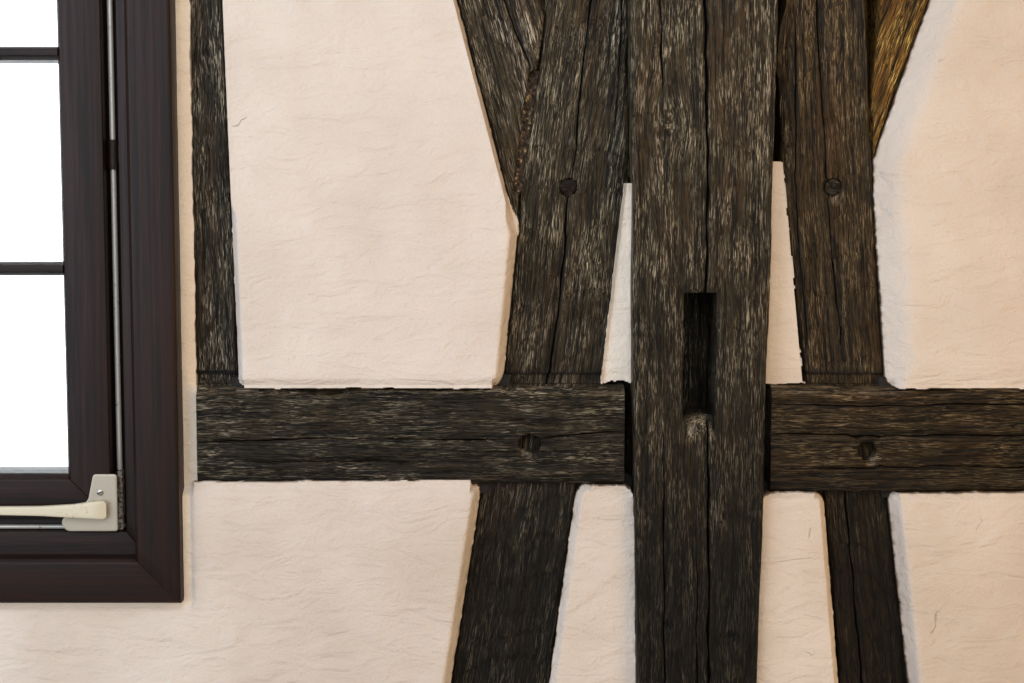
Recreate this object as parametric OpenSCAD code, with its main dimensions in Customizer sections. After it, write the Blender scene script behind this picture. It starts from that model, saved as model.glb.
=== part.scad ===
// Storey-high section of an old half-timbered wall with a window, seen from the room side.
// X runs along the wall, Y runs through it from the room (front) to the outside (back), Z is up.
// The origin is on the sill plate's underside, at the middle of the wall's length and thickness.
// The timber frame is laid out from the centre post's axis, which wall_frame() puts in its place.

/* [Wall] */
// Height from the sill plate's underside to the top plate's upper face
wall_h = 2160; // [1940:5:2400]
// Thickness of the wall over its posts
wall_d = 180; // [170:2:220]
// Height of the sill plate
sill_h = 180; // [140:2:200]
// Height of the top plate
plate_h = 170; // [140:2:175]

/* [Posts] */
// Width of the centre post at its foot
post_foot_w = 132; // [120:1:160]
// Width of the centre post at its head, which is the tree's root end
post_head_w = 196; // [170:1:210]
// Width of the two end posts
end_post_w = 150; // [110:1:200]
// Width of the window stud where it stands on the rail
stud_foot_w = 57; // [45:1:70]
// Width of the window stud under the top plate
stud_head_w = 34; // [30:1:50]
// Centre post axis to the sawn window face of stud and rail
left_bay_w = 640; // [600:1:800]
// Centre post axis to the right end post
right_bay_w = 577; // [540:1:800]

/* [Rails] */
// Height of the rails' upper edge above the sill plate's underside
rail_top_z = 1147; // [1100:1:1200]
// Height of the left rail
left_rail_h = 129; // [100:1:140]
// Height of the right rail
right_rail_h = 138; // [110:1:150]
// Set-back of the rails' front from the posts' front
rail_set = 15; // [8:1:22]
// Depth of the worn bevel along a rail's upper front edge
wane_d = 12; // [4:1:13]
// Height of that worn bevel
wane_h = 8; // [4:1:16]

/* [Braces] */
// Set-back of the braces' and stud's front from the posts' front
brace_set = 30; // [24:1:40]
// Distance of the left long brace's axis from the post axis on the sill plate
left_foot_x = 335; // [300:1:360]
// The same where the brace passes behind the rail
left_lap_x = 204; // [190:1:220]
// The same where the brace comes out above the rail
left_rise_x = 185; // [175:1:195]
// The same at the knee, where the brace reaches the post
left_knee_x = 161; // [150:1:175]
// The same under the top plate
left_head_x = 79; // [70:1:95]
// Distance of the right long brace's axis from the post axis on the sill plate
right_foot_x = 297; // [260:1:320]
// The same where the brace passes behind the rail
right_lap_x = 196; // [180:1:205]
// The same where the brace comes out above the rail
right_rise_x = 190; // [182:1:198]
// The same at the knee, where the brace reaches the post
right_knee_x = 164; // [150:1:170]
// The same under the top plate
right_head_x = 125; // [110:1:132]
// Height of the knee above the sill plate's underside
knee_z = 1380; // [1340:1:1420]
// Width of the left long brace at its foot
left_foot_w = 140; // [120:1:150]
// Width of the left long brace where it passes the rail
left_lap_w = 121; // [105:1:130]
// Width of the left long brace where it comes out above the rail
left_rise_w = 125; // [114:1:132]
// Width of the left long brace at the knee
left_knee_w = 128; // [120:1:136]
// Width of the left long brace at its head, before it is scribed to the post
left_head_w = 126; // [115:1:130]
// Width of the right long brace at its foot
right_foot_w = 109; // [95:1:120]
// Width of the right long brace where it passes the rail
right_lap_w = 81; // [80:1:105]
// Width of the right long brace where it comes out above the rail
right_rise_w = 101; // [92:1:112]
// Width of the right long brace at the knee
right_knee_w = 115; // [110:1:126]
// Width of the right long brace at its head, before it is scribed to the post
right_head_w = 124; // [114:1:130]

/* [Head braces] */
// Height of the left head brace's pointed foot
left_head_foot_z = 1338; // [1320:1:1380]
// Distance of its outer edge from the post axis under the top plate
left_head_out_x = 399; // [380:1:450]
// Width of the left head brace, measured level
left_headbrace_w = 105; // [85:1:115]
// Height of the right head brace's pointed foot
right_head_foot_z = 1429; // [1400:1:1460]
// Distance of its outer edge from the post axis under the top plate
right_head_out_x = 409; // [370:1:440]
// Width of the right head brace, measured level
right_headbrace_w = 100; // [85:1:110]
// Height at which the shrinkage gap beside the right head brace starts to open
gap_start_z = 1490; // [1470:1:1530]
// Width of that shrinkage gap once it is fully open
gap_w = 15; // [6:1:18]
// Depth of the shrinkage gap and of the filled joint
gap_d = 70; // [40:1:90]
// Height of the lower end of the mortar that fills the left brace joint
filler_z = 1388; // [1380:1:1430]
// Length of that mortar strip
filler_l = 155; // [100:1:160]
// Width of that mortar strip
filler_w = 12; // [6:1:13]
// Set-back of the mortar from the braces' front
filler_set = 10; // [4:1:20]

/* [Joints] */
// Thickness of every tenon
tenon_t = 45; // [35:1:55]
// Length of every tenon
tenon_l = 50; // [35:1:52]
// Width of the shoulder beside a tenon
shoulder_w = 12; // [8:1:14]
// Clearance round a tenon in its mortise
tenon_fit = 0.5; // [0.3:0.1:1]
// How much deeper a mortise is than its tenon is long
mortise_play = 2; // [1:0.5:4]
// Diameter of the peg holes
peg_hole_d = 22; // [18:0.5:24]
// Clearance of a peg in its hole, on the diameter
peg_fit = 0.4; // [0.2:0.1:0.6]
// How far a frame peg reaches past the tenon that it holds
peg_reach = 30; // [15:1:36]
// Depth of the two empty peg holes in the rails
peg_hole_depth = 120; // [100:1:130]
// Sideways shift of the left rail's peg hole from the brace axis behind it
left_hole_shift = 8; // [0:1:20]
// Sideways shift of the right rail's peg hole from the brace axis behind it
right_hole_shift = 17; // [0:1:25]
// Height of the rails' peg holes above the rails' lower edge
hole_rise = 54; // [30:1:70]
// Height of the filled peg holes in the long braces above the knee
brace_peg_rise = 16; // [5:1:30]
// Sideways shift of the left brace's filled peg hole from that brace's axis
left_peg_shift = 6; // [0:1:14]
// Sideways shift of the right brace's filled peg hole from that brace's axis
right_peg_shift = 7; // [0:1:14]
// Width of the empty mortise in the centre post's front
mortise_w = 40; // [30:1:46]
// Height of the empty mortise
mortise_h = 154; // [120:1:170]
// Depth of the empty mortise
mortise_d = 75; // [50:1:76]
// Height of the empty mortise's lower end
mortise_z = 1110; // [1060:1:1140]
// Height of the worn notch below the empty mortise
notch_h = 26; // [15:1:35]
// Width of that notch
notch_w = 29; // [18:1:29]
// Depth of that notch at its upper end
notch_d = 22; // [10:1:40]

/* [Infill] */
// Set-back of the large panels' crown from the posts' front
crown_set = 6; // [2:1:10]
// Set-back of the large panels' edge from the posts' front
edge_set = 38; // [36:1:48]
// Width of the steep margin round a large panel
panel_bevel = 11; // [6:1:30]
// Set-back of the narrow upper wedges' crown from the posts' front
wedge_set = 31; // [28:1:50]
// Height of the narrow upper wedges' crown over their margin
wedge_crown = 8; // [2:1:10]
// Width of the steep margin round a narrow upper wedge
wedge_bevel = 3; // [2:1:5]
// Set-back of the lower wedges' crown from the posts' front
low_wedge_set = 16; // [8:1:40]
// Height of the lower wedges' crown over their margin
low_wedge_crown = 22; // [8:1:24]
// Width of the steep margin round a lower wedge
low_wedge_bevel = 9; // [4:1:14]
// Set-back of all infill from the wall's outer face
outer_set = 6; // [2:1:12]

/* [Window] */
// Height of the plastered joint between the fixed frame and the top plate
head_gap = 30; // [14:1:60]
// Width of one pane as seen
pane_w = 270; // [220:1:320]
// Height of one pane as seen
pane_h = 252; // [220:1:290]
// Number of panes side by side
pane_columns = 2; // [2:1:3]
// Number of panes above each other
pane_rows = 3; // [2:1:3]
// Thickness of the glass
pane_t = 4; // [3:0.5:5]
// Width of a glazing bar
bar_w = 17; // [15:1:24]
// Set-back of the glass from the sash's front
glass_set = 36; // [30:1:42]
// Set-back of the glazing bars' nose from the sash's front
bar_set = 4; // [2:0.5:8]
// Depth of the bevel on a glazing bar's nose
bar_bevel = 14; // [8:1:18]
// Set-back of the glazing bars' back from the sash's back
bar_back_set = 8; // [4:1:14]
// Depth to which the glass sits in sash and bars
glass_bite = 5; // [4:0.5:6]
// Clearance of the glass in its grooves
glass_fit = 0.3; // [0.2:0.1:0.5]
// Width of the sash's stiles and rails
stile_w = 57; // [50:1:70]
// Depth of the sash through the wall
sash_d = 66; // [58:1:72]
// Depth of the sash's front part, which laps over the fixed frame
sash_lap_d = 28; // [22:1:32]
// Width of the lap
sash_lap_w = 15; // [12:1:17]
// Depth of the fixed frame's rebate, on which the sash laps
rebate_d = 20; // [16:1:24]
// Width of the groove between sash and fixed frame at the sides and head
groove_w = 17; // [17:1:22]
// Width of that groove below the sash
low_groove_w = 18; // [15:1:20]
// Clearance between the sash and the fixed frame's rebate
rebate_gap = 2; // [1:0.5:3]
// Width of the fixed frame's sides and head
frame_w = 63; // [58:1:75]
// Height of the fixed frame's lower member
frame_low_h = 75; // [74:1:95]
// Depth of the fixed frame through the wall
frame_d = 68; // [64:1:76]
// Width of the plastered joint round the fixed frame
reveal_w = 25; // [20:1:34]
// Set-back of that plaster from the posts' front
reveal_set = 30; // [24:1:45]
// Width of the casing boards
casing_w = 57; // [54:1:64]
// Thickness of the casing boards
casing_t = 28; // [20:1:32]
// How far the casing reaches past the fixed frame's outer edge
casing_over = 11; // [6:1:16]
// How far the casing stands proud of the posts' front
casing_proud = 8; // [4:1:14]
// Joint between the casing and the plaster that butts against it
casing_joint = 1; // [0.5:0.5:3]
// Width of the bevel along the inner edge of the sash
moulding_w = 12; // [8:1:16]
// Width of the bevel along the casing's inner edge
casing_bevel = 5; // [3:1:12]
// Width of the small bevel along the casing's outer edge
casing_arris = 3; // [1:0.5:5]
// Thickness of the outer window board at the window
board_t = 30; // [24:1:36]
// Thickness of the outer window board at its nose
board_nose_t = 16; // [12:1:22]
// Diameter of the drip groove under that nose
drip_d = 6; // [4:0.5:8]
// How far the outer window board stands out of the wall
board_nose = 25; // [15:1:40]

/* [Window gear] */
// Diameter of the upright gear rod
rod_d = 7; // [6:0.5:9]
// Diameter of the gear rod below the sash
low_rod_d = 6; // [5:0.5:7]
// Distance of the upright rod's axis from the fixed frame's inner edge
rod_off = 10.5; // [9:0.5:12]
// Distance of the lower rod's axis from the fixed frame's inner edge
low_rod_off = 4; // [4:0.5:6]
// Thickness of the corner plate
plate_t = 3; // [2:0.5:4]
// Length of the corner plate along the sash's lower rail
boot_l = 62; // [50:1:80]
// Height of the corner plate along the sash's stile
boot_h = 58; // [44:1:70]
// Width of the corner plate on the stile
boot_w = 21; // [16:1:26]
// Height at which the corner plate's slope meets its upright part
boot_waist = 25; // [15:1:35]
// Size of the cut-off corner at the corner plate's tip
boot_nip = 7; // [2:1:10]
// How far the corner plate reaches below the sash
boot_drop = 15; // [10:1:17]
// How far the corner plate reaches past the sash's side
boot_lap = 9; // [6:1:12]
// Distance of the upright rod's upper end from the sash's upper edge
rod_top_gap = 40; // [20:1:80]
// Distance of the lower rod's far end from the sash's hinge side
low_rod_gap = 40; // [20:1:80]
// Length of a rod guide along its rod
guide_l = 23; // [15:1:35]
// Thickness of a rod guide's wall round its rod
guide_t = 2; // [1.5:0.5:3]
// Width of the link between corner gear and upright rod
link_w = 6; // [4:0.5:8]
// Diameter of that link's pivot
link_pin_d = 9; // [7:0.5:10]
// Clearance of the rods in their guides, on the diameter
rod_fit = 0.6; // [0.3:0.1:1]
// Length of the lever from its pivot to its tip
lever_l = 152; // [120:1:190]
// Distance of the lever's pivot from the sash's side
lever_in = 15; // [13:1:20]
// Height of the lever's pivot above the sash's lower edge
lever_rise = 14; // [8:1:18]
// Width of the lever at its hub
lever_hub_w = 24; // [20:1:30]
// Width of the lever at its tip
lever_tip_w = 12; // [9:1:16]
// Thickness of the lever
lever_t = 10; // [8:1:14]
// Height of a hinge barrel
hinge_h = 70; // [50:1:90]
// Diameter of a hinge barrel
hinge_d = 12; // [10:0.5:14]
// Distance of each hinge from the nearer end of the sash
hinge_gap = 70; // [40:1:120]
// Length of the hinge leaf on the sash
hinge_leaf_l = 32; // [24:1:45]
// Thickness of the hinge leaves
hinge_leaf_t = 2.5; // [2:0.5:3]
// How far a hinge barrel's axis stands in front of the fixed frame
hinge_rise = 4; // [3:0.5:6]
// Air between the rods and the fixed frame's rebate
rod_gap = 3; // [2:0.5:4]
// Air between the corner plate and the lever
lever_gap = 3; // [2:0.5:5]

/* [Hidden] */

OAK = "#3a322b";
DARK_OAK = "#2e2723";
HONEY_OAK = "#8a6a3c";
LIME_PLASTER = "#e4d5c4";
BRICK_MORTAR = "#7a4f3c";
STAINED_WOOD = "#40302c";
GLASS_TINT = "#cfdad8";
ZINC = "#a9a9a4";
PALE_PAINT = "#d8d2bd";

$fn = 48;
// Extra length of a cut past the face it starts from, and past a post's sloping side
over = 1;
side_over = 10;

// Planes through the wall, from the room to the outside
front_y = -wall_d / 2;
back_y = wall_d / 2;
rail_y = front_y + rail_set;
brace_y = front_y + brace_set;
lap_y = (rail_y + back_y) / 2;
panel_back_y = back_y - outer_set;
casing_face_y = front_y - casing_proud;
casing_back_y = casing_face_y + casing_t;
lap_face_y = casing_back_y + rebate_d;
sash_y = lap_face_y - sash_lap_d;
glass_y = sash_y + glass_set;
tenon_y = (brace_y + back_y - tenon_t) / 2;

// Heights
plate_z = wall_h - plate_h;
left_rail_z = rail_top_z - left_rail_h;
right_rail_z = rail_top_z - right_rail_h;

// Window, from the glass outwards
glass_w = pane_columns * pane_w + (pane_columns - 1) * bar_w;
glass_h = pane_rows * pane_h + (pane_rows - 1) * bar_w;
sash_w = glass_w + 2 * stile_w;
sash_h = glass_h + 2 * stile_w;
frame_clear_w = sash_w + 2 * groove_w;
frame_out_w = frame_clear_w + 2 * frame_w;
window_bay_w = frame_out_w + 2 * reveal_w;
frame_out_h = frame_low_h + low_groove_w + sash_h + groove_w + frame_w;
frame_top_z = plate_z - head_gap;
window_z = frame_top_z - frame_out_h;
sash_z = window_z + frame_low_h + low_groove_w;
frame_x1 = -left_bay_w - reveal_w;
frame_x0 = frame_x1 - frame_out_w;
sash_x1 = frame_x1 - frame_w - groove_w;
sash_x0 = sash_x1 - sash_w;
glass_x0 = sash_x0 + stile_w;
glass_z0 = sash_z + stile_w;

// Ends of the wall, and the place of the centre post in it
wall_x0 = -left_bay_w - window_bay_w - end_post_w;
wall_x1 = right_bay_w + end_post_w;
axis_x = -(wall_x0 + wall_x1) / 2;

// Axes and widths of the long braces as tables over the height
rail_mid_z = rail_top_z - left_rail_h / 2;
left_line = [[sill_h, -left_foot_x], [rail_mid_z, -left_lap_x], [rail_top_z, -left_rise_x],
             [knee_z, -left_knee_x], [plate_z, -left_head_x]];
left_width = [[sill_h, left_foot_w], [rail_mid_z, left_lap_w], [rail_top_z, left_rise_w],
              [knee_z, left_knee_w], [plate_z, left_head_w]];
right_line = [[sill_h, right_foot_x], [rail_mid_z, right_lap_x], [rail_top_z, right_rise_x],
              [knee_z, right_knee_x], [plate_z, right_head_x]];
right_width = [[sill_h, right_foot_w], [rail_mid_z, right_lap_w], [rail_top_z, right_rise_w],
               [knee_z, right_knee_w], [plate_z, right_head_w]];

function post_half(z) =
    (post_foot_w + (post_head_w - post_foot_w) * (z - sill_h) / (plate_z - sill_h)) / 2;
function stud_in_x(z) =
    -left_bay_w + lookup(z, [[rail_top_z, stud_foot_w], [plate_z, stud_head_w]]);
function edge(line, width, z, side) = lookup(z, line) + side * lookup(z, width) / 2;
function side_points(line, width, side) = [for (s = line) [edge(line, width, s[0], side), s[0]]];
function reversed(list) = [for (i = [len(list) - 1 : -1 : 0]) list[i]];
function brace_points(line, width) =
    concat(side_points(line, width, -1), reversed(side_points(line, width, 1)));
// The stretch of an axis between two heights
function axis_points(line, z0, z1) =
    concat([[lookup(z0, line), z0]],
           [for (s = line) if (s[0] > z0 && s[0] < z1) [s[1], s[0]]],
           [[lookup(z1, line), z1]]);

// Corner points of the head braces, foot first
left_apex = [edge(left_line, left_width, left_head_foot_z, -1), left_head_foot_z];
left_crest = [-left_head_out_x, plate_z];
right_apex = [edge(right_line, right_width, right_head_foot_z, 1), right_head_foot_z];
right_crest = [right_head_out_x, plate_z];

// Level spans [from, to] of everything that stands on the sill plate or carries the top plate
centre_foot = [-post_half(sill_h), post_half(sill_h)];
centre_head = [-post_half(plate_z), post_half(plate_z)];
left_end = [wall_x0, wall_x0 + end_post_w];
right_end = [right_bay_w, wall_x1];
stud_head = [-left_bay_w, stud_in_x(plate_z)];
left_brace_foot = [edge(left_line, left_width, sill_h, -1), edge(left_line, left_width, sill_h, 1)];
right_brace_foot = [edge(right_line, right_width, sill_h, -1), edge(right_line, right_width, sill_h, 1)];
left_brace_head = [edge(left_line, left_width, plate_z, -1), -post_half(plate_z)];
right_brace_head = [post_half(plate_z), edge(right_line, right_width, plate_z, 1)];
left_head_top = [-left_head_out_x, -left_head_out_x + left_headbrace_w];
right_head_top = [right_head_out_x - right_headbrace_w, right_head_out_x];
sill_seats = [left_end, left_brace_foot, centre_foot, right_brace_foot, right_end];
plate_seats = [left_end, stud_head, left_head_top, left_brace_head, centre_head,
               right_brace_head, right_head_top, right_end];

// Peg positions in the wall's face
post_peg_x = [(left_end[0] + left_end[1]) / 2, 0, (right_end[0] + right_end[1]) / 2];
peg_heights = [sill_h - tenon_l / 2, plate_z + tenon_l / 2];
frame_peg_back_y = tenon_y + tenon_t + peg_reach;
left_hole = [lookup(left_rail_z + hole_rise, left_line) - left_hole_shift, left_rail_z + hole_rise];
right_hole = [lookup(right_rail_z + hole_rise, right_line) + right_hole_shift,
              right_rail_z + hole_rise];
brace_peg_z = knee_z + brace_peg_rise;
left_peg = [lookup(brace_peg_z, left_line) - left_peg_shift, brace_peg_z];
right_peg = [lookup(brace_peg_z, right_line) + right_peg_shift, brace_peg_z];

// General shapes

// Puts what is laid out from the centre post's axis into the wall
module wall_frame() {
    translate([axis_x, 0, 0]) children();
}

// Extrudes an outline in the wall's face from one plane to another
module through(y0, y1) {
    translate([0, y1, 0]) rotate([90, 0, 0]) linear_extrude(height = y1 - y0) children();
}

// Extrudes a profile, given as [y, z] points, along X
module along(x0, x1) {
    translate([x0, 0, 0]) rotate([90, 0, 90]) linear_extrude(height = x1 - x0) children();
}

module block(x0, x1, y0, y1, z0, z1) {
    translate([x0, y0, z0]) cube([x1 - x0, y1 - y0, z1 - z0]);
}

module face_rect(x0, x1, z0, z1) {
    translate([x0, z0]) square([x1 - x0, z1 - z0]);
}

// A round hole or pin square to the wall's face, at [x, z]
module face_pin(at, d, y0, y1) {
    translate([at[0], y1, at[1]]) rotate([90, 0, 0]) cylinder(d = d, h = y1 - y0);
}

// A tenon that stands up or down between two heights, or its mortise with a clearance
module tenon(span, z0, z1, fit = 0) {
    block(span[0] + shoulder_w - fit, span[1] - shoulder_w + fit,
          tenon_y - fit, tenon_y + tenon_t + fit, z0, z1);
}

module post_outline() {
    polygon([[-post_half(sill_h), sill_h], [post_half(sill_h), sill_h],
             [post_half(plate_z), plate_z], [-post_half(plate_z), plate_z]]);
}

module left_brace_outline() {
    polygon(brace_points(left_line, left_width));
}

module right_brace_outline() {
    polygon(brace_points(right_line, right_width));
}

// A head brace as a straight strip, before it is scribed to the long brace. Its foot starts
// a little inside the long brace, and into is 1 or -1 for the side on which that lies.
module head_strip(apex, crest, width, into) {
    root = apex + (apex - crest) * 0.04;
    polygon([root, crest, crest + [into * width, 0], root + [into * width, 0]]);
}

module left_head_strip() {
    head_strip(left_apex, left_crest, left_headbrace_w, 1);
}

module right_head_strip() {
    head_strip(right_apex, right_crest, right_headbrace_w, -1);
}

// The strip along the left long brace's outer edge that is packed with mortar
module filler_outline(inward = 0) {
    low = [edge(left_line, left_width, filler_z, -1), filler_z];
    high = [edge(left_line, left_width, filler_z + filler_l, -1), filler_z + filler_l];
    polygon([low + [inward, 0], high + [inward, 0], high - [filler_w, 0], low - [filler_w, 0]]);
}

// Timbers

module sill_plate() {
    color(DARK_OAK) wall_frame() difference() {
        block(wall_x0, wall_x1, front_y, back_y, 0, sill_h);
        for (s = sill_seats) tenon(s, sill_h - tenon_l - mortise_play, sill_h + over, tenon_fit);
        for (x = post_peg_x) face_pin([x, peg_heights[0]], peg_hole_d, front_y - over, frame_peg_back_y);
    }
}

module top_plate() {
    color(DARK_OAK) wall_frame() difference() {
        block(wall_x0, wall_x1, front_y, back_y, plate_z, wall_h);
        for (s = plate_seats) tenon(s, plate_z - over, plate_z + tenon_l + mortise_play, tenon_fit);
        for (x = post_peg_x) face_pin([x, peg_heights[1]], peg_hole_d, front_y - over, frame_peg_back_y);
    }
}

// The mortise that a rail's tenon enters, from the post's side at x towards into
module rail_mortise(x, into, z0, z1) {
    start = x - into * side_over;
    end = x + into * (tenon_l + mortise_play);
    block(min(start, end), max(start, end),
          tenon_y - tenon_fit, tenon_y + tenon_t + tenon_fit,
          z0 + shoulder_w - tenon_fit, z1 - shoulder_w + tenon_fit);
}

module centre_post() {
    color(OAK) wall_frame() difference() {
        union() {
            through(front_y, back_y) post_outline();
            tenon(centre_foot, sill_h - tenon_l, sill_h + over);
            tenon(centre_head, plate_z - over, plate_z + tenon_l);
        }
        rail_mortise(-post_half(left_rail_z), 1, left_rail_z, rail_top_z);
        rail_mortise(post_half(right_rail_z), -1, right_rail_z, rail_top_z);
        block(-mortise_w / 2, mortise_w / 2, front_y - over, front_y + mortise_d,
              mortise_z, mortise_z + mortise_h);
        along(-notch_w / 2, notch_w / 2)
            polygon([[front_y - over, mortise_z - notch_h], [front_y, mortise_z - notch_h],
                     [front_y + notch_d, mortise_z + over], [front_y - over, mortise_z + over]]);
        for (z = peg_heights) face_pin([0, z], peg_hole_d, front_y - over, frame_peg_back_y);
    }
}

module end_post(span) {
    x_mid = (span[0] + span[1]) / 2;
    difference() {
        union() {
            block(span[0], span[1], front_y, back_y, sill_h, plate_z);
            tenon(span, sill_h - tenon_l, sill_h + over);
            tenon(span, plate_z - over, plate_z + tenon_l);
        }
        for (z = peg_heights) face_pin([x_mid, z], peg_hole_d, front_y - over, frame_peg_back_y);
    }
}

module left_end_post() {
    color(OAK) wall_frame() end_post(left_end);
}

module right_end_post() {
    color(OAK) wall_frame() difference() {
        end_post(right_end);
        rail_mortise(right_bay_w, 1, right_rail_z, rail_top_z);
    }
}

// Stands on the sawn end of the left rail and carries the top plate beside the window
module window_stud() {
    foot = [-left_bay_w, stud_in_x(rail_top_z)];
    color(OAK) wall_frame() union() {
        through(brace_y, back_y)
            polygon([[foot[0], rail_top_z], [foot[1], rail_top_z],
                     [stud_head[1], plate_z], [stud_head[0], plate_z]]);
        tenon(foot, rail_top_z - tenon_l / 2, rail_top_z + over);
        tenon(stud_head, plate_z - over, plate_z + tenon_l);
    }
}

// A rail's cross-section with the worn bevel along its upper front edge
module rail_profile(z0) {
    polygon([[rail_y, z0], [back_y, z0], [back_y, rail_top_z],
             [rail_y + wane_d, rail_top_z], [rail_y, rail_top_z - wane_h]]);
}

module left_rail() {
    post_low = -post_half(left_rail_z);
    post_high = -post_half(rail_top_z);
    color(OAK) wall_frame() difference() {
        union() {
            intersection() {
                along(-left_bay_w, 0) rail_profile(left_rail_z);
                through(front_y, back_y)
                    polygon([[-left_bay_w, left_rail_z], [post_low, left_rail_z],
                             [post_high, rail_top_z], [-left_bay_w, rail_top_z]]);
            }
            block(post_high - over, post_low + tenon_l, tenon_y, tenon_y + tenon_t,
                  left_rail_z + shoulder_w, rail_top_z - shoulder_w);
        }
        through(lap_y, back_y + over) left_brace_outline();
        tenon([-left_bay_w, stud_in_x(rail_top_z)], rail_top_z - tenon_l / 2 - mortise_play,
              rail_top_z + over, tenon_fit);
        face_pin(left_hole, peg_hole_d, rail_y - over, rail_y + peg_hole_depth);
    }
}

module right_rail() {
    post_low = post_half(right_rail_z);
    post_high = post_half(rail_top_z);
    color(OAK) wall_frame() difference() {
        union() {
            intersection() {
                along(0, right_bay_w) rail_profile(right_rail_z);
                through(front_y, back_y)
                    polygon([[post_low, right_rail_z], [right_bay_w, right_rail_z],
                             [right_bay_w, rail_top_z], [post_high, rail_top_z]]);
            }
            block(post_low - tenon_l, post_high + over, tenon_y, tenon_y + tenon_t,
                  right_rail_z + shoulder_w, rail_top_z - shoulder_w);
            block(right_bay_w - over, right_bay_w + tenon_l, tenon_y, tenon_y + tenon_t,
                  right_rail_z + shoulder_w, rail_top_z - shoulder_w);
        }
        through(lap_y, back_y + over) right_brace_outline();
        face_pin(right_hole, peg_hole_d, rail_y - over, rail_y + peg_hole_depth);
    }
}

// A long brace is scribed to the post, halved behind the rail and tenoned at both ends.
// The child is the brace's outline.
module long_brace(foot, head, rail_z, hole, peg) {
    difference() {
        union() {
            through(brace_y, back_y) difference() {
                children();
                post_outline();
            }
            tenon(foot, sill_h - tenon_l, sill_h + over);
            tenon(head, plate_z - over, plate_z + tenon_l);
        }
        block(min(foot[0], head[0]) - over, max(foot[1], head[1]) + over,
              brace_y - over, lap_y, rail_z, rail_top_z);
        face_pin(hole, peg_hole_d, rail_y, rail_y + peg_hole_depth);
        face_pin(peg, peg_hole_d, brace_y - over, back_y + over);
    }
}

module left_long_brace() {
    color(OAK) wall_frame()
        long_brace(left_brace_foot, left_brace_head, left_rail_z, left_hole, left_peg)
            left_brace_outline();
}

module right_long_brace() {
    color(OAK) wall_frame()
        long_brace(right_brace_foot, right_brace_head, right_rail_z, right_hole, right_peg)
            right_brace_outline();
}

module left_head_brace() {
    color(DARK_OAK) wall_frame() difference() {
        union() {
            through(brace_y, back_y) difference() {
                left_head_strip();
                left_brace_outline();
            }
            tenon(left_head_top, plate_z - over, plate_z + tenon_l);
        }
        through(brace_y - over, brace_y + gap_d) filler_outline(over);
    }
}

// The shrinkage gap opens upwards between this brace and the long brace
module right_head_brace() {
    open_z = gap_start_z + 9 * gap_w;
    color(HONEY_OAK) wall_frame() difference() {
        union() {
            through(brace_y, back_y) difference() {
                right_head_strip();
                right_brace_outline();
            }
            tenon(right_head_top, plate_z - over, plate_z + tenon_l);
        }
        through(brace_y - over, brace_y + gap_d)
            polygon([[edge(right_line, right_width, gap_start_z, 1) - over, gap_start_z],
                     [edge(right_line, right_width, open_z, 1) + gap_w, open_z],
                     [edge(right_line, right_width, open_z, 1) + gap_w, plate_z + over],
                     [edge(right_line, right_width, plate_z, 1) - over, plate_z + over]]);
    }
}

module left_brace_peg() {
    color(DARK_OAK) wall_frame() face_pin(left_peg, peg_hole_d - peg_fit, brace_y, back_y);
}

module right_brace_peg() {
    color(DARK_OAK) wall_frame() face_pin(right_peg, peg_hole_d - peg_fit, brace_y, back_y);
}

// Oak pegs that hold the posts' tenons in sill and top plate
module frame_pegs() {
    color(DARK_OAK) wall_frame()
        for (x = post_peg_x, z = peg_heights)
            face_pin([x, z], peg_hole_d - peg_fit, front_y, frame_peg_back_y);
}

// Infill panels of daub with a plaster face that swells forward inside a sloping margin

module large_panel() {
    through(front_y + edge_set, panel_back_y) children();
    hull() {
        through(front_y + edge_set, front_y + edge_set + over) children();
        through(front_y + crown_set, front_y + crown_set + over) offset(delta = -panel_bevel) children();
    }
}

module narrow_panel(set = wedge_set, crown = wedge_crown, bevel = wedge_bevel) {
    margin_y = front_y + set + crown;
    through(margin_y, panel_back_y) children();
    hull() {
        through(margin_y, margin_y + over) children();
        through(front_y + set, front_y + set + over) offset(delta = -bevel) children();
    }
}

module low_panel() {
    narrow_panel(low_wedge_set, low_wedge_crown, low_wedge_bevel) children();
}

module left_upper_infill() {
    color(LIME_PLASTER) wall_frame() large_panel() difference() {
        polygon(concat([[stud_in_x(rail_top_z), rail_top_z], [stud_in_x(plate_z), plate_z],
                        left_crest + [left_headbrace_w / 2, 0]],
                       reversed(axis_points(left_line, rail_top_z, left_head_foot_z))));
        left_brace_outline();
        left_head_strip();
    }
}

module right_upper_infill() {
    color(LIME_PLASTER) wall_frame() large_panel() difference() {
        polygon(concat([[right_bay_w, rail_top_z], [right_bay_w, plate_z],
                        right_crest - [right_headbrace_w / 2, 0]],
                       reversed(axis_points(right_line, rail_top_z, right_head_foot_z))));
        right_brace_outline();
        right_head_strip();
    }
}

// The narrow field between a long brace and the post, from z0 to z1
module wedge_field(line, z0, z1) {
    difference() {
        polygon(concat(axis_points(line, z0, z1), [[0, z1], [0, z0]]));
        children();
        post_outline();
    }
}

module left_upper_wedge() {
    color(LIME_PLASTER) wall_frame() narrow_panel()
        wedge_field(left_line, rail_top_z, plate_z) left_brace_outline();
}

module right_upper_wedge() {
    color(LIME_PLASTER) wall_frame() narrow_panel()
        wedge_field(right_line, rail_top_z, plate_z) right_brace_outline();
}

module left_lower_wedge() {
    color(LIME_PLASTER) wall_frame() low_panel()
        wedge_field(left_line, sill_h, left_rail_z) left_brace_outline();
}

module right_lower_wedge() {
    color(LIME_PLASTER) wall_frame() low_panel()
        wedge_field(right_line, sill_h, right_rail_z) right_brace_outline();
}

// The small field between a long brace and its head brace under the top plate
module left_head_infill() {
    color(LIME_PLASTER) wall_frame() narrow_panel() difference() {
        polygon([left_apex + [left_headbrace_w / 2, 0], left_crest + [left_headbrace_w / 2, 0],
                 [-post_half(plate_z), plate_z], [-left_knee_x, knee_z]]);
        left_brace_outline();
        left_head_strip();
        post_outline();
    }
}

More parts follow.
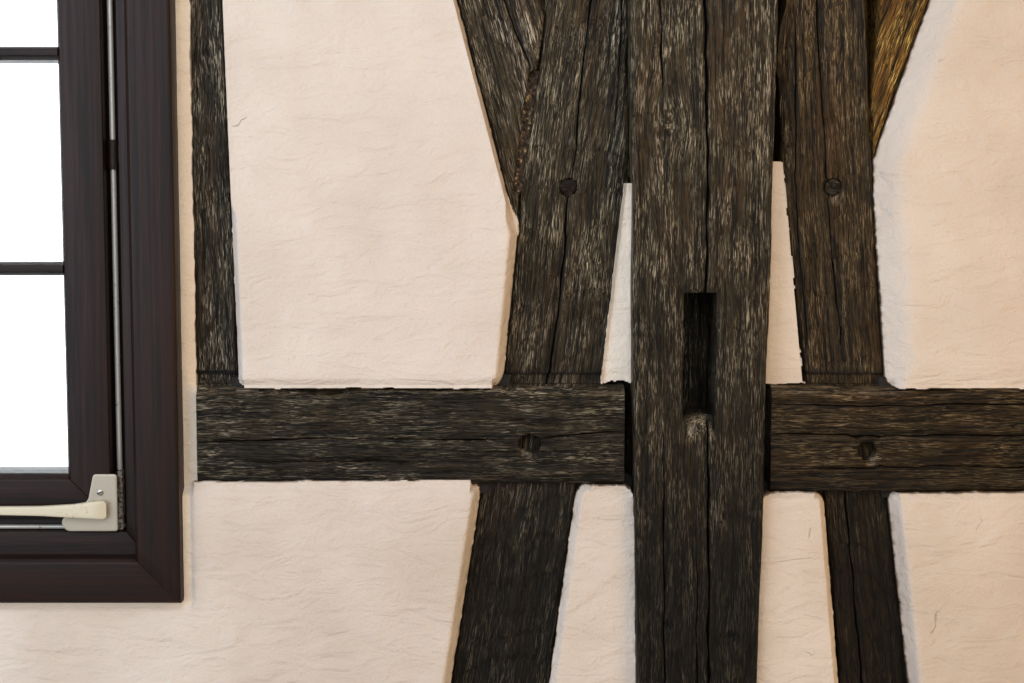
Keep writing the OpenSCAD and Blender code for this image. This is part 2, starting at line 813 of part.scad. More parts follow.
module right_head_infill() {
    color(LIME_PLASTER) wall_frame() narrow_panel() difference() {
        polygon([right_apex - [right_headbrace_w / 2, 0], right_crest - [right_headbrace_w / 2, 0],
                 [post_half(plate_z), plate_z], [right_knee_x, knee_z]]);
        right_brace_outline();
        right_head_strip();
        post_outline();
    }
}

// One panel runs below the rail and on below the window, and butts against the casing
module left_lower_infill() {
    shared_z = min(window_z, left_rail_z);
    color(LIME_PLASTER) wall_frame() difference() {
        union() {
            large_panel() difference() {
                polygon(concat(axis_points(left_line, sill_h, shared_z),
                               [[left_end[1], shared_z], [left_end[1], sill_h]]));
                left_brace_outline();
            }
            large_panel() face_rect(left_end[1], -left_bay_w, sill_h, window_z);
            large_panel() difference() {
                polygon(concat(axis_points(left_line, sill_h, left_rail_z),
                               [[frame_x1, left_rail_z], [frame_x1, sill_h]]));
                left_brace_outline();
            }
        }
        through(casing_face_y, casing_back_y)
            face_rect(frame_x0 - casing_over - casing_joint, frame_x1 + casing_over + casing_joint,
                      window_z - casing_over - casing_joint, plate_z);
    }
}

module right_lower_infill() {
    color(LIME_PLASTER) wall_frame() large_panel() difference() {
        polygon(concat(axis_points(right_line, sill_h, right_rail_z),
                       [[right_bay_w, right_rail_z], [right_bay_w, sill_h]]));
        right_brace_outline();
    }
}

module joint_filler() {
    color(BRICK_MORTAR) wall_frame()
        through(brace_y + filler_set, brace_y + gap_d) intersection() {
            filler_outline();
            left_head_strip();
        }
}

// Plaster in the joint between the fixed frame and the timbers round it, down to the panel
module reveal_plaster() {
    color(LIME_PLASTER) wall_frame() through(front_y + reveal_set, panel_back_y) difference() {
        face_rect(left_end[1], -left_bay_w, window_z, plate_z);
        face_rect(frame_x0, frame_x1, window_z - over, frame_top_z);
        face_rect(frame_x1 - over, over - left_bay_w, window_z - over, max(window_z, left_rail_z));
    }
}

// Window

// One side of a rectangular frame, mitred at both ends. The profile is a list of
// [u, y] points, where u is the distance inwards from the frame's outer edge.
module frame_side(profile, x0, z0, w, h, side) {
    reach = max([for (p = profile) p[0]]);
    level = [for (p = profile) [p[1], p[0]]];
    translate([x0, 0, z0]) intersection() {
        if (side == "foot") along(0, w) polygon(level);
        if (side == "head") translate([0, 0, h]) mirror([0, 0, 1]) along(0, w) polygon(level);
        if (side == "left") linear_extrude(height = h) polygon(profile);
        if (side == "right") translate([w, 0, 0]) mirror([1, 0, 0])
            linear_extrude(height = h) polygon(profile);
        through(casing_face_y - over, back_y) polygon(
            side == "foot" ? [[0, 0], [w, 0], [w - reach, reach], [reach, reach]] :
            side == "head" ? [[0, h], [w, h], [w - reach, h - reach], [reach, h - reach]] :
            side == "left" ? [[0, 0], [0, h], [reach, h - reach], [reach, reach]] :
            [[w, 0], [w, h], [w - reach, h - reach], [w - reach, reach]]);
    }
}

casing_profile = [[0, casing_back_y], [0, casing_face_y + casing_arris], [casing_arris, casing_face_y],
                  [casing_w - casing_bevel, casing_face_y], [casing_w, casing_face_y + casing_bevel],
                  [casing_w, casing_back_y]];

module casing_board(side) {
    color(STAINED_WOOD) wall_frame()
        frame_side(casing_profile, frame_x0 - casing_over, window_z - casing_over,
                   frame_out_w + 2 * casing_over, frame_out_h + 2 * casing_over, side);
}

module casing_left() {
    casing_board("left");
}

module casing_right() {
    casing_board("right");
}

module casing_head() {
    casing_board("head");
}

module casing_foot() {
    casing_board("foot");
}

// The fixed frame has a rebate that the sash laps over
module window_frame() {
    leg = groove_w + sash_lap_w - rebate_gap;
    low_leg = low_groove_w + sash_lap_w - rebate_gap;
    color(STAINED_WOOD) wall_frame() difference() {
        through(casing_back_y, casing_back_y + frame_d)
            face_rect(frame_x0, frame_x1, window_z, frame_top_z);
        through(casing_back_y - over, lap_face_y)
            face_rect(frame_x0 + frame_w, frame_x1 - frame_w,
                      window_z + frame_low_h, frame_top_z - frame_w);
        through(lap_face_y - over, casing_back_y + frame_d + over)
            face_rect(frame_x0 + frame_w + leg, frame_x1 - frame_w - leg,
                      window_z + frame_low_h + low_leg, frame_top_z - frame_w - leg);
    }
}

// Glass rectangles as [x, z] of their lower left corners
pane_corners = [for (c = [0 : pane_columns - 1], r = [0 : pane_rows - 1])
                [glass_x0 + c * (pane_w + bar_w), glass_z0 + r * (pane_h + bar_w)]];

// The panes themselves, or the grooves that hold them when given a clearance
module panes(fit = 0) {
    through(glass_y - fit, glass_y + pane_t + fit)
        for (p = pane_corners)
            face_rect(p[0] - glass_bite - fit, p[0] + pane_w + glass_bite + fit,
                      p[1] - glass_bite - fit, p[1] + pane_h + glass_bite + fit);
}

sash_profile = [[0, sash_y], [stile_w - moulding_w / 2, sash_y], [stile_w, sash_y + moulding_w],
                [stile_w, sash_y + sash_d], [sash_lap_w, sash_y + sash_d],
                [sash_lap_w, lap_face_y], [0, lap_face_y]];

module window_sash() {
    color(STAINED_WOOD) wall_frame() difference() {
        for (side = ["foot", "head", "left", "right"])
            frame_side(sash_profile, sash_x0, sash_z, sash_w, sash_h, side);
        panes(glass_fit);
    }
}

// A glazing bar's cross-section as [u, y] about its axis: a narrow nose and a square back
bar_nose_y = sash_y + bar_set;
bar_cheek_y = bar_nose_y + bar_bevel;
bar_back_y = sash_y + sash_d - bar_back_set;
bar_profile = [[-bar_w / 2, bar_cheek_y], [-bar_w / 4, bar_nose_y], [bar_w / 4, bar_nose_y],
               [bar_w / 2, bar_cheek_y], [bar_w / 2, bar_back_y], [-bar_w / 2, bar_back_y]];

module glazing_bars() {
    color(STAINED_WOOD) wall_frame() difference() {
        union() {
            for (c = [1 : pane_columns - 1])
                translate([glass_x0 + c * (pane_w + bar_w) - bar_w / 2, 0, glass_z0])
                    linear_extrude(height = glass_h) polygon(bar_profile);
            for (r = [1 : pane_rows - 1])
                translate([0, 0, glass_z0 + r * (pane_h + bar_w) - bar_w / 2])
                    along(glass_x0, glass_x0 + glass_w)
                        polygon([for (p = bar_profile) [p[1], p[0]]]);
        }
        panes(glass_fit);
    }
}

module window_panes() {
    color(GLASS_TINT) wall_frame() panes();
}

// A weathered board slopes outwards below the window, with a drip groove under its nose
module outer_window_board() {
    y0 = casing_back_y + frame_d;
    y1 = back_y + board_nose;
    color(STAINED_WOOD) wall_frame() along(left_end[1] + reveal_w, frame_x1) difference() {
        polygon([[y0, window_z], [y1, window_z], [y1, window_z + board_nose_t],
                 [y0, window_z + board_t]]);
        translate([y1 - 2 * drip_d, window_z]) circle(d = drip_d);
    }
}

// Window gear

rod_y = lap_face_y - rod_d / 2 - rod_gap;
rod_x = frame_x1 - frame_w - rod_off;
low_rod_z = window_z + frame_low_h + low_rod_off;
corner_x = sash_x1;
corner_z = sash_z;
rod_foot_z = corner_z + boot_h + over;
rod_top_z = sash_z + sash_h - rod_top_gap;
low_rod_x1 = rod_x - rod_d / 2;
low_rod_x0 = sash_x0 + low_rod_gap;
lever_pivot = [corner_x - lever_in, corner_z + lever_rise];

// A boot-shaped cover over the lower corner of the sash
module corner_gear_plate() {
    color(ZINC) wall_frame() through(sash_y - plate_t, sash_y)
        polygon([[corner_x - boot_w, corner_z + boot_h], [corner_x + boot_lap, corner_z + boot_h],
                 [corner_x + boot_lap, corner_z - boot_drop],
                 [corner_x - boot_l + boot_nip, corner_z - boot_drop],
                 [corner_x - boot_l, corner_z - boot_drop + boot_nip],
                 [corner_x - boot_l, corner_z],
                 [corner_x - boot_w * 4 / 3, corner_z + boot_waist]]);
}

// A tapered arm that points along the sash's lower rail, on a round hub
module gear_lever() {
    y0 = sash_y - plate_t - lever_t - lever_gap;
    tip = lever_pivot - [lever_l - lever_tip_w / 2, 0];
    color(PALE_PAINT) wall_frame() union() {
        face_pin(lever_pivot, lever_hub_w, y0, sash_y - plate_t);
        face_pin(tip, lever_tip_w, y0, y0 + lever_t);
        through(y0, y0 + lever_t)
            polygon([lever_pivot + [0, lever_hub_w / 2], lever_pivot - [0, lever_hub_w / 2],
                     tip - [0, lever_tip_w / 2], tip + [0, lever_tip_w / 2]]);
    }
}

module upright_rod() {
    color(ZINC) wall_frame() translate([rod_x, rod_y, rod_foot_z])
        cylinder(d = rod_d, h = rod_top_z - rod_foot_z);
}

module lower_rod() {
    color(ZINC) wall_frame() translate([low_rod_x0, rod_y, low_rod_z]) rotate([0, 90, 0])
        cylinder(d = low_rod_d, h = low_rod_x1 - low_rod_x0);
}

// Guides that hold the rods against the fixed frame's rebate
module rod_guides() {
    color(DARK_OAK) wall_frame() difference() {
        union() {
            for (z = [sash_z + sash_h * 0.51, rod_top_z - 2 * guide_l])
                block(rod_x - rod_d / 2 - guide_t, frame_x1 - frame_w, rod_y - rod_d / 2 - guide_t,
                      lap_face_y, z - guide_l / 2, z + guide_l / 2);
            for (x = [sash_x0 + sash_w * 0.3, sash_x0 + sash_w * 0.7])
                block(x - guide_l / 2, x + guide_l / 2, rod_y - low_rod_d / 2 - guide_t,
                      lap_face_y, window_z + frame_low_h, low_rod_z + low_rod_d / 2 + guide_t);
        }
        translate([rod_x, rod_y, sash_z]) cylinder(d = rod_d + rod_fit, h = sash_h);
        translate([sash_x0, rod_y, low_rod_z]) rotate([0, 90, 0])
            cylinder(d = low_rod_d + rod_fit, h = sash_w);
    }
}

// The short link between the corner gear and the upright rod, with its pivot
module rod_link() {
    color(ZINC) wall_frame() union() {
        block(rod_x - link_w / 2, rod_x + link_w / 2, rod_y - rod_d / 2, lap_face_y,
              low_rod_z, rod_foot_z);
        face_pin([rod_x, low_rod_z], link_pin_d, rod_y - rod_d / 2, lap_face_y);
    }
}

// Two barrel hinges at the sash's far side, each with one leaf on the sash and one on the frame
module sash_hinges() {
    barrel_x = sash_x0 - groove_w / 2;
    barrel_y = casing_back_y - hinge_rise;
    color(ZINC) wall_frame()
        for (z = [sash_z + hinge_gap, sash_z + sash_h - hinge_gap - hinge_h]) union() {
            translate([barrel_x, barrel_y, z]) cylinder(d = hinge_d, h = hinge_h);
            block(barrel_x, sash_x0 + hinge_leaf_l, sash_y - hinge_leaf_t, sash_y, z, z + hinge_h);
            block(frame_x0 + casing_w - casing_over, barrel_x, casing_back_y - hinge_leaf_t,
                  casing_back_y, z, z + hinge_h);
        }
}

sill_plate();
top_plate();
centre_post();
left_end_post();
right_end_post();
window_stud();
left_rail();
right_rail();
left_long_brace();
right_long_brace();
left_head_brace();
right_head_brace();
left_brace_peg();
right_brace_peg();
frame_pegs();
left_upper_infill();
right_upper_infill();
left_upper_wedge();
right_upper_wedge();
left_head_infill();
right_head_infill();
left_lower_infill();
right_lower_infill();
left_lower_wedge();
right_lower_wedge();
joint_filler();
reveal_plaster();
casing_left();
casing_right();
casing_head();
casing_foot();
window_frame();
window_sash();
glazing_bars();
window_panes();
outer_window_board();
corner_gear_plate();
gear_lever();
upright_rod();
lower_rod();
rod_guides();
rod_link();
sash_hinges();
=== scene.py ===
"""Finished model of a half-timbered wall section with its window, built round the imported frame.

Lengths are in metres unless a name says mm. X runs along the wall, Y through it from the room to the
outside and Z up. Places that are given in mm are counted along the wall from the centre post's axis.
"""
from __future__ import annotations

import functools
import itertools
import logging
import math
from collections.abc import Sequence
from dataclasses import dataclass, field
from enum import Enum
from typing import Protocol

import bpy
import numpy as np
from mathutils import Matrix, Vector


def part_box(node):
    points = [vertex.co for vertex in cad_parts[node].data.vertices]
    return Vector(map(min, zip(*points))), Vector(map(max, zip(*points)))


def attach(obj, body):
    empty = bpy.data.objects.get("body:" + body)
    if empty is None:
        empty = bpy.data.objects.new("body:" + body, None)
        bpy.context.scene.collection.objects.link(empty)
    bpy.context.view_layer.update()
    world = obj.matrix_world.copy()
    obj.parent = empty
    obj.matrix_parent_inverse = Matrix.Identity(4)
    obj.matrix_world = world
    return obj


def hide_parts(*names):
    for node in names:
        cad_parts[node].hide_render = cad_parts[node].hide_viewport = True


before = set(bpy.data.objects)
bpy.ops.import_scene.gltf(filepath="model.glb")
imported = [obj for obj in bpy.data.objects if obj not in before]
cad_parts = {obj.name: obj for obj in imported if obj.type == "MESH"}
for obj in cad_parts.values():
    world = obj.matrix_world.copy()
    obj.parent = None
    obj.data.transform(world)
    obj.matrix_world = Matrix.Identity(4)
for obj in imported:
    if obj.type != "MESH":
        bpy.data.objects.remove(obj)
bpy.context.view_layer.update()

log = logging.getLogger("wall")
Array = np.ndarray
Point = tuple[float, float]

MM = 0.001
BODY = "root"
GRAIN = "grain"
DIRT_AND_SHADING = "dirt_and_shading"
SIDES = ("foot", "right", "head", "left")
# Node settings that come back often
COLOURS = {"out": 2, "data_type": "RGBA"}
TIMES = {"operation": "MULTIPLY"}
POST_AXIS = (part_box("centre_post")[0].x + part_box("centre_post")[1].x) / 2
FOOT_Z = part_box("sill_plate")[1].z
HEAD_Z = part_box("top_plate")[0].z
# Heights between which the camera sees the wall from near, where the meshes are finest
SIGHT = (0.72, 1.68)
EVERYWHERE = (-math.inf, math.inf)
NOISE_PRIMES = (374761393, 668265263, 1013904223)
# Distances from a panel's edge at which its grid has lines, from inside the timber inwards
MARGIN = np.array([-9, -7.6, -6.2, -5, -3.7, -2.5, -1.6, -0.8, 0, 0.7, 1.6, 2.8, 4.4, 6.2, 8, 9.6,
                   11.4, 14]) * MM


class Way(Enum):
    """The direction in which a timber runs in the wall."""

    UPRIGHT = "upright"
    LEVEL = "level"


class Edge(Enum):
    """The edge of a timber's room face that its grain follows."""

    LOW = "low"
    MIDDLE = "middle"
    HIGH = "high"


def from_axis(place_mm: float) -> float:
    """Turns a place in mm from the centre post's axis into X."""
    return POST_AXIS + place_mm * MM


def centre_of(node: str) -> tuple[float, ...]:
    """Middle of a CAD node's box."""
    return tuple((low + high) / 2 for low, high in zip(*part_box(node)))


def ripple(seed: int, *axes: Array) -> Array:
    """Smooth value noise.

    Args:
        seed: Number that picks the pattern.
        axes: Coordinates counted in cells of the pattern, one array for each of up to three axes.

    Returns:
        The noise at each point, between -1 and 1.
    """
    axes = np.broadcast_arrays(*axes)
    cells = [np.floor(axis).astype(np.int64) for axis in axes]
    shares = [axis - cell for axis, cell in zip(axes, cells)]
    shares = [share * share * (3 - 2 * share) for share in shares]
    total = np.zeros(axes[0].shape)
    for corner in itertools.product((0, 1), repeat=len(axes)):
        key = np.full(axes[0].shape, seed * 7919 + 17, np.int64)
        weight = np.ones(axes[0].shape)
        for cell, share, step, prime in zip(cells, shares, corner, NOISE_PRIMES):
            key = ((key ^ (cell + step) * prime) * 1274126177) & 0xFFFFFFFF
            key = key ^ (key >> 15)
            weight = weight * (share if step else 1 - share)
        total += weight * (key / 2**31 - 1)
    return total


def smooth(low: float, high: float, value: Array) -> Array:
    """Smooth step from 0 at low to 1 at high."""
    share = np.clip((value - low) / (high - low), 0, 1)
    return share * share * (3 - 2 * share)


def reach(node: str, way: Way, stations: Array) -> tuple[Array, Array]:
    """Measures how far a CAD node reaches across the wall.

    Args:
        node: Name of the CAD node.
        way: UPRIGHT for its reach along X at heights, LEVEL for its reach in height along X.
        stations: Heights or places along X.

    Returns:
        The lowest and the highest place that it reaches at each station.
    """
    along, across = (2, 0) if way is Way.UPRIGHT else (0, 2)
    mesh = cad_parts[node].data
    points = np.array([vertex.co for vertex in mesh.vertices])
    low = np.full(stations.shape, np.inf)
    high = np.full(stations.shape, -np.inf)
    for edge in mesh.edges:
        start, end = sorted((points[i] for i in edge.vertices), key=lambda point: point[along])
        if end[along] - start[along] < 1e-6:
            continue
        share = (stations - start[along]) / (end[along] - start[along])
        place = start[across] + share * (end[across] - start[across])
        met = (share >= -1e-6) & (share <= 1 + 1e-6)
        low = np.where(met, np.minimum(low, place), low)
        high = np.where(met, np.maximum(high, place), high)
    return low, high


def stations(start: float, end: float, fine: float, coarse: float, sight: Point,
             breaks: Sequence[float] = ()) -> Array:
    """Stations along a piece, close together where the camera looks.

    Args:
        start: First station.
        end: Last station.
        fine: Distance between stations inside the sight.
        coarse: Distance between stations outside it.
        sight: Lowest and highest station that the camera sees.
        breaks: Places with a station just before and just after them.

    Returns:
        The stations in rising order.
    """
    places = [start]
    while places[-1] < end:
        places.append(places[-1] + (fine if sight[0] < places[-1] < sight[1] else coarse))
    places = [p for p in places[:-1] if all(abs(p - b) > 1.2 * MM for b in (*breaks, end))]
    pairs = [b + side * 0.4 * MM for b in breaks for side in (-1, 1)]
    return np.array(sorted([start, *(p for p in places if p > start), *pairs, end]))


def soften(outline: Sequence[Point], radius: float, steps: int = 3) -> Array:
    """Rounds the corners of a closed outline.

    Args:
        outline: Corner points.
        radius: How far from a corner the rounding starts, cut to just under half the shorter side.
        steps: Number of short sides that replace a corner.

    Returns:
        The rounded outline as an array of points.
    """
    corners = np.array(outline, float)
    points = []
    for before, corner, after in zip(np.roll(corners, 1, 0), corners, np.roll(corners, -1, 0)):
        sides = [before - corner, after - corner]
        lengths = [np.hypot(*side) for side in sides]
        cut = min(radius, 0.45 * min(lengths))
        start, end = (corner + side / length * cut for side, length in zip(sides, lengths))
        for share in np.linspace(0, 1, steps + 1):
            points.append((1 - share)**2 * start + 2 * share * (1 - share) * corner + share**2 * end)
    return np.array(points)


def plate(x: Sequence[float], z: Sequence[float], radius: float) -> Array:
    """Anticlockwise outline of a rectangle with rounded corners."""
    return soften([(x[0], z[0]), (x[1], z[0]), (x[1], z[1]), (x[0], z[1])], radius)


def inset(outline: Array, distance: float) -> Array:
    """Moves each point of a closed anticlockwise outline inwards by a distance."""
    run = np.roll(outline, -1, 0) - np.roll(outline, 1, 0)
    run /= np.hypot(run[:, 0], run[:, 1])[:, None]
    return outline + np.stack([-run[:, 1], run[:, 0]], 1) * distance


def turns(count: int) -> Array:
    """Angles that divide a full turn into equal steps."""
    return np.linspace(0, 2 * math.pi, count, endpoint=False)


def layers(outline: Array, steps: Sequence[Point]) -> Array:
    """Rings in the wall's plane along an outline, one for each (inset, y)."""
    return np.stack([np.insert(inset(outline, shrink), 1, y, 1) for shrink, y in steps])


def discs(x: float, z: float, count: int, steps: Sequence[Point]) -> Array:
    """Rings round an axis along Y at a place, one for each (radius, y)."""
    rim = np.stack([np.cos(turns(count)), np.sin(turns(count))], 1)
    return np.stack([np.insert((x, z) + radius * rim, 1, y, 1) for radius, y in steps])


def linear(code: str) -> tuple[float, float, float, float]:
    """Turns an sRGB hex colour into linear RGBA."""
    parts = [int(code[i:i + 2], 16) / 255 for i in (1, 3, 5)]
    return (*(p / 12.92 if p <= 0.04045 else ((p + 0.055) / 1.055)**2.4 for p in parts), 1.0)


def cells(along_mm: float, across_mm: float) -> tuple[float, float, float]:
    """Factors that turn grain coordinates in metres into cells of a pattern."""
    return (1 / (along_mm * MM), 1 / (across_mm * MM), 1 / (across_mm * MM))


class Recipe:
    """The node tree of a material or of the world."""

    def __init__(self, owner: bpy.types.Material | bpy.types.World,
                 shader: str = "Principled BSDF") -> None:
        """Starts from the shader node that its owner comes with."""
        owner.use_nodes = True
        self.owner = owner
        self.tree = owner.node_tree
        self.shader = self.tree.nodes[shader]

    def fill(self, node: bpy.types.Node, sockets: dict[int | str, object]) -> None:
        """Sets or links inputs of a node.

        Args:
            node: The node.
            sockets: Values or output sockets by input name or number.
        """
        for key, value in sockets.items():
            if isinstance(value, bpy.types.NodeSocket):
                self.tree.links.new(value, node.inputs[key])
            else:
                node.inputs[key].default_value = value

    def add(self, kind: str, sockets: dict[int | str, object], out: int | str = 0,
            **settings: object) -> bpy.types.NodeSocket:
        """Adds a node with its settings and links.

        Args:
            kind: Node type without the leading ShaderNode.
            sockets: Values or output sockets by input name or number.
            out: Name or number of the output that is wanted.
            settings: Properties of the node.

        Returns:
            The wanted output socket.
        """
        node = self.tree.nodes.new("ShaderNode" + kind)
        for key, value in settings.items():
            setattr(node, key, value)
        self.fill(node, sockets)
        return node.outputs[out]

    def finish(self, sockets: dict[int | str, object]) -> bpy.types.ID:
        """Sets or links inputs of the shader and returns the owner."""
        self.fill(self.shader, sockets)
        return self.owner


class Finish(Protocol):
    """What every finish offers: a material and a slot name."""

    slot: str

    def material(self) -> bpy.types.Material:
        """Makes the material."""


@dataclass(frozen=True)
class HewnOak:
    """Old oak, hewn with an axe and darkened by smoke and age.

    The soft early wood has worn back, so black lines and hollows run between hard ridges.
    Their polished fibres are glossier, and light flecks on them in patches are painted glints.
    """

    title: str = "old hewn oak"
    slot: str = "oak"
    hollow: str = "#0b0804"
    body: str = "#3e3420"
    painted_glint: str = "#d4c6aa"
    warm: str = "#4a2f17"
    cool: str = "#2c312b"
    bare_and_highlight: str = "#a39684"
    grime_and_shade: str = "#060504"
    ring_mm: float = 5.0
    fibre_mm: float = 1.5
    painted_glint_share: float = 1.0
    relief_mm: float = 1.3
    roughness: float = 0.5

    def material(self) -> bpy.types.Material:
        """Makes the material from the grain coordinates of each piece and its share of soiling,
        painted shade and painted highlight.
        """
        recipe = Recipe(bpy.data.materials.new(self.title))
        grain = recipe.add("Attribute", {}, out=1, attribute_name=GRAIN)
        dirt_and_shading = recipe.add("Attribute", {}, out=2, attribute_name=DIRT_AND_SHADING)
        # Fibres wander a few mm to either side over a hand's breadth
        place = recipe.add("VectorMath", {0: grain, 1: cells(90, 30)}, **TIMES)
        bend = recipe.add("TexNoise", {"Vector": place, "Scale": 1, "Detail": 3}, out=1)
        wavy = recipe.add("VectorMath", {0: bend, 1: (0, 8 * MM, 8 * MM), 2: grain},
                          operation="MULTIPLY_ADD")
        # The painted glints are light fibres of 0.5 mm, drawn as coarse as shows
        layers = []
        for along_mm, across_mm, detail in ((150, self.ring_mm, 2), (24, self.fibre_mm, 2),
                                            (16, 1.1, 2), (70, 30, 4), (130, 3.2, 2)):
            spot = recipe.add("VectorMath", {0: wavy, 1: cells(along_mm, across_mm)}, **TIMES)
            layers.append(recipe.add("TexNoise", {"Vector": spot, "Scale": 1, "Detail": detail,
                                                  "Roughness": 0.6}))
        rings, fibres, flecks, facets, checks = layers
        height = recipe.add("Math", {0: fibres, 1: 0.8, 2: rings}, operation="MULTIPLY_ADD")
        tone = recipe.add("MapRange", {0: height, 1: 0.72, 2: 1.08})
        # Fine drying checks: thin black lines where the noise crosses its middle
        check = recipe.add("Math", {0: checks, 1: 0.5}, operation="SUBTRACT")
        check = recipe.add("Math", {0: check}, operation="ABSOLUTE")
        check = recipe.add("MapRange", {0: check, 1: 0.003, 2: 0.02})
        tone = recipe.add("Math", {0: tone, 1: check}, **TIMES)
        # Patches where the painted glints gather, as on facets that catch the light
        area = recipe.add("MapRange", {0: facets, 1: 0.4, 2: 0.6, 3: 0.06, 4: self.painted_glint_share})
        glint_mask = recipe.add("MapRange", {0: flecks, 1: 0.5, 2: 0.61})
        glint_mask = recipe.add("Math", {0: glint_mask, 1: tone}, **TIMES)
        glint_mask = recipe.add("Math", {0: glint_mask, 1: area}, **TIMES)
        tints = [(glint_mask, self.painted_glint)]
        # Stains as wide as a hand, one warm and one cool
        for tinge, low, along_mm in ((self.warm, 0.5, 150), (self.cool, 0.52, 260)):
            spot = recipe.add("VectorMath", {0: grain, 1: cells(along_mm, 36)}, **TIMES)
            share = recipe.add("TexNoise", {"Vector": spot, "Scale": 1, "Detail": 4})
            share = recipe.add("MapRange", {0: share, 1: low, 2: low + 0.16, 4: 0.45})
            tints.append((recipe.add("Math", {0: share, 1: tone}, **TIMES), tinge))
        # Below zero: pale torn wood, and the painted highlight along an upper arris
        bare_and_highlight_share = recipe.add("Math", {0: dirt_and_shading, 1: -1.0}, **TIMES, use_clamp=True)
        tints.append((recipe.add("Math", {0: bare_and_highlight_share, 1: tone}, **TIMES), self.bare_and_highlight))
        # Above zero: soiling, and painted shade in cracks, holes and the lower timbers
        grime_and_shade = recipe.add("Math", {0: dirt_and_shading, 1: 1.0}, **TIMES, use_clamp=True)
        colour = recipe.add("Mix", {0: tone, 6: linear(self.hollow), 7: linear(self.body)},
                            **COLOURS)
        for share, tint in (*tints, (grime_and_shade, self.grime_and_shade)):
            colour = recipe.add("Mix", {0: share, 6: colour, 7: linear(tint)}, **COLOURS)
        rise = recipe.add("Math", {0: flecks, 1: 0.5, 2: height}, operation="MULTIPLY_ADD")
        rise = recipe.add("Math", {0: check, 1: 0.5, 2: rise}, operation="MULTIPLY_ADD")
        normal = recipe.add("Bump", {"Height": rise, "Strength": 1.0,
                                     "Distance": self.relief_mm * MM})
        gloss = recipe.add("MapRange", {0: glint_mask, 3: self.roughness, 4: self.roughness - 0.2})
        return recipe.finish({"Base Color": colour, "Roughness": gloss, "Normal": normal,
                              "Specular IOR Level": 0.15})


@dataclass(frozen=True)
class LimePlaster:
    """Lime plaster, floated smooth by hand and lime washed, with faint trowel marks."""

    title: str = "floated lime plaster"
    slot: str = "lime_plaster"
    wash: str = "#e8dbce"
    shade: str = "#d8c9b9"
    painted_light: str = "#f8ead8"
    seam: str = "#7d654c"
    hollow: str = "#0d0a07"
    roughness: float = 0.85

    def material(self) -> bpy.types.Material:
        """Makes the material, whose seam colour shows along the timbers as soiling and painted shade.
        """
        recipe = Recipe(bpy.data.materials.new(self.title))
        place = recipe.add("Attribute", {}, out=1, attribute_name=GRAIN)
        dirt_and_shading = recipe.add("Attribute", {}, out=2, attribute_name=DIRT_AND_SHADING)
        clouds = recipe.add("TexNoise", {"Vector": place, "Scale": 1 / 0.16, "Detail": 5})
        share = recipe.add("MapRange", {0: clouds, 1: 0.35, 2: 0.7})
        # Below zero: painted light on plaster that lies in shade
        painted_light = recipe.add("Math", {0: dirt_and_shading, 1: -1.0}, **TIMES, use_clamp=True)
        # Above one: painted black shade where the plaster lies deep
        hollow = recipe.add("Math", {0: dirt_and_shading, 1: 1.0}, operation="SUBTRACT", use_clamp=True)
        colour = linear(self.wash)
        # Between zero and one: the seam colour, for soiling and painted shade along the timbers and a
        # painted shadow
        for mix, tint in ((share, self.shade), (painted_light, self.painted_light), (dirt_and_shading, self.seam),
                          (hollow, self.hollow)):
            colour = recipe.add("Mix", {0: mix, 6: colour, 7: linear(tint)}, **COLOURS)
        # Hairline cracks where a slow noise crosses its middle, in a few places only
        crazing = recipe.add("TexNoise", {"Vector": place, "Scale": 1 / 0.07, "Detail": 4})
        crazing = recipe.add("Math", {0: crazing, 1: 0.5}, operation="SUBTRACT")
        crazing = recipe.add("Math", {0: crazing}, operation="ABSOLUTE")
        crazing = recipe.add("MapRange", {0: crazing, 1: 0.0015, 2: 0.006, 3: 1.0, 4: 0.0})
        area = recipe.add("TexNoise", {"Vector": place, "Scale": 1 / 0.11, "Detail": 2,
                                       "Distortion": 0.6})
        area = recipe.add("MapRange", {0: area, 1: 0.66, 2: 0.72})
        crazing = recipe.add("Math", {0: crazing, 1: area}, **TIMES)
        # Float strokes a hand long and fine sand grit of 1.5 mm, drawn as coarse as shows
        stroke = recipe.add("VectorMath", {0: place, 1: cells(60, 26)}, **TIMES)
        strokes = recipe.add("TexNoise", {"Vector": stroke, "Scale": 1, "Detail": 4,
                                          "Distortion": 1.2})
        grit = recipe.add("TexNoise", {"Vector": place, "Scale": 1 / 0.0035, "Detail": 3})
        rise = recipe.add("Math", {0: grit, 1: 0.22, 2: strokes}, operation="MULTIPLY_ADD")
        rise = recipe.add("Math", {0: crazing, 1: -0.5, 2: rise}, operation="MULTIPLY_ADD")
        normal = recipe.add("Bump", {"Height": rise, "Strength": 1.0, "Distance": 4.5 * MM})
        return recipe.finish({"Base Color": colour, "Roughness": self.roughness,
                              "Normal": normal})


@dataclass(frozen=True)
class ClayMortar:
    """Clay mortar with brick dust, pressed into a joint, rough and crumbling."""

    title: str = "clay mortar"
    slot: str = "brick_mortar"
    body: str = "#5c4733"
    dark: str = "#1c140d"
    crumb: str = "#bfa574"

    def material(self) -> bpy.types.Material:
        """Makes the material."""
        recipe = Recipe(bpy.data.materials.new(self.title))
        place = recipe.add("Attribute", {}, out=1, attribute_name=GRAIN)
        crumbs = recipe.add("TexNoise", {"Vector": place, "Scale": 1 / 0.005, "Detail": 4})
        share = recipe.add("MapRange", {0: crumbs, 1: 0.4, 2: 0.6})
        colour = recipe.add("Mix", {0: share, 6: linear(self.dark), 7: linear(self.body)}, **COLOURS)
        share = recipe.add("MapRange", {0: crumbs, 1: 0.62, 2: 0.68})
        colour = recipe.add("Mix", {0: share, 6: colour, 7: linear(self.crumb)}, **COLOURS)
        normal = recipe.add("Bump", {"Height": crumbs, "Distance": 2 * MM})
        return recipe.finish({"Base Color": colour, "Roughness": 0.9, "Normal": normal})


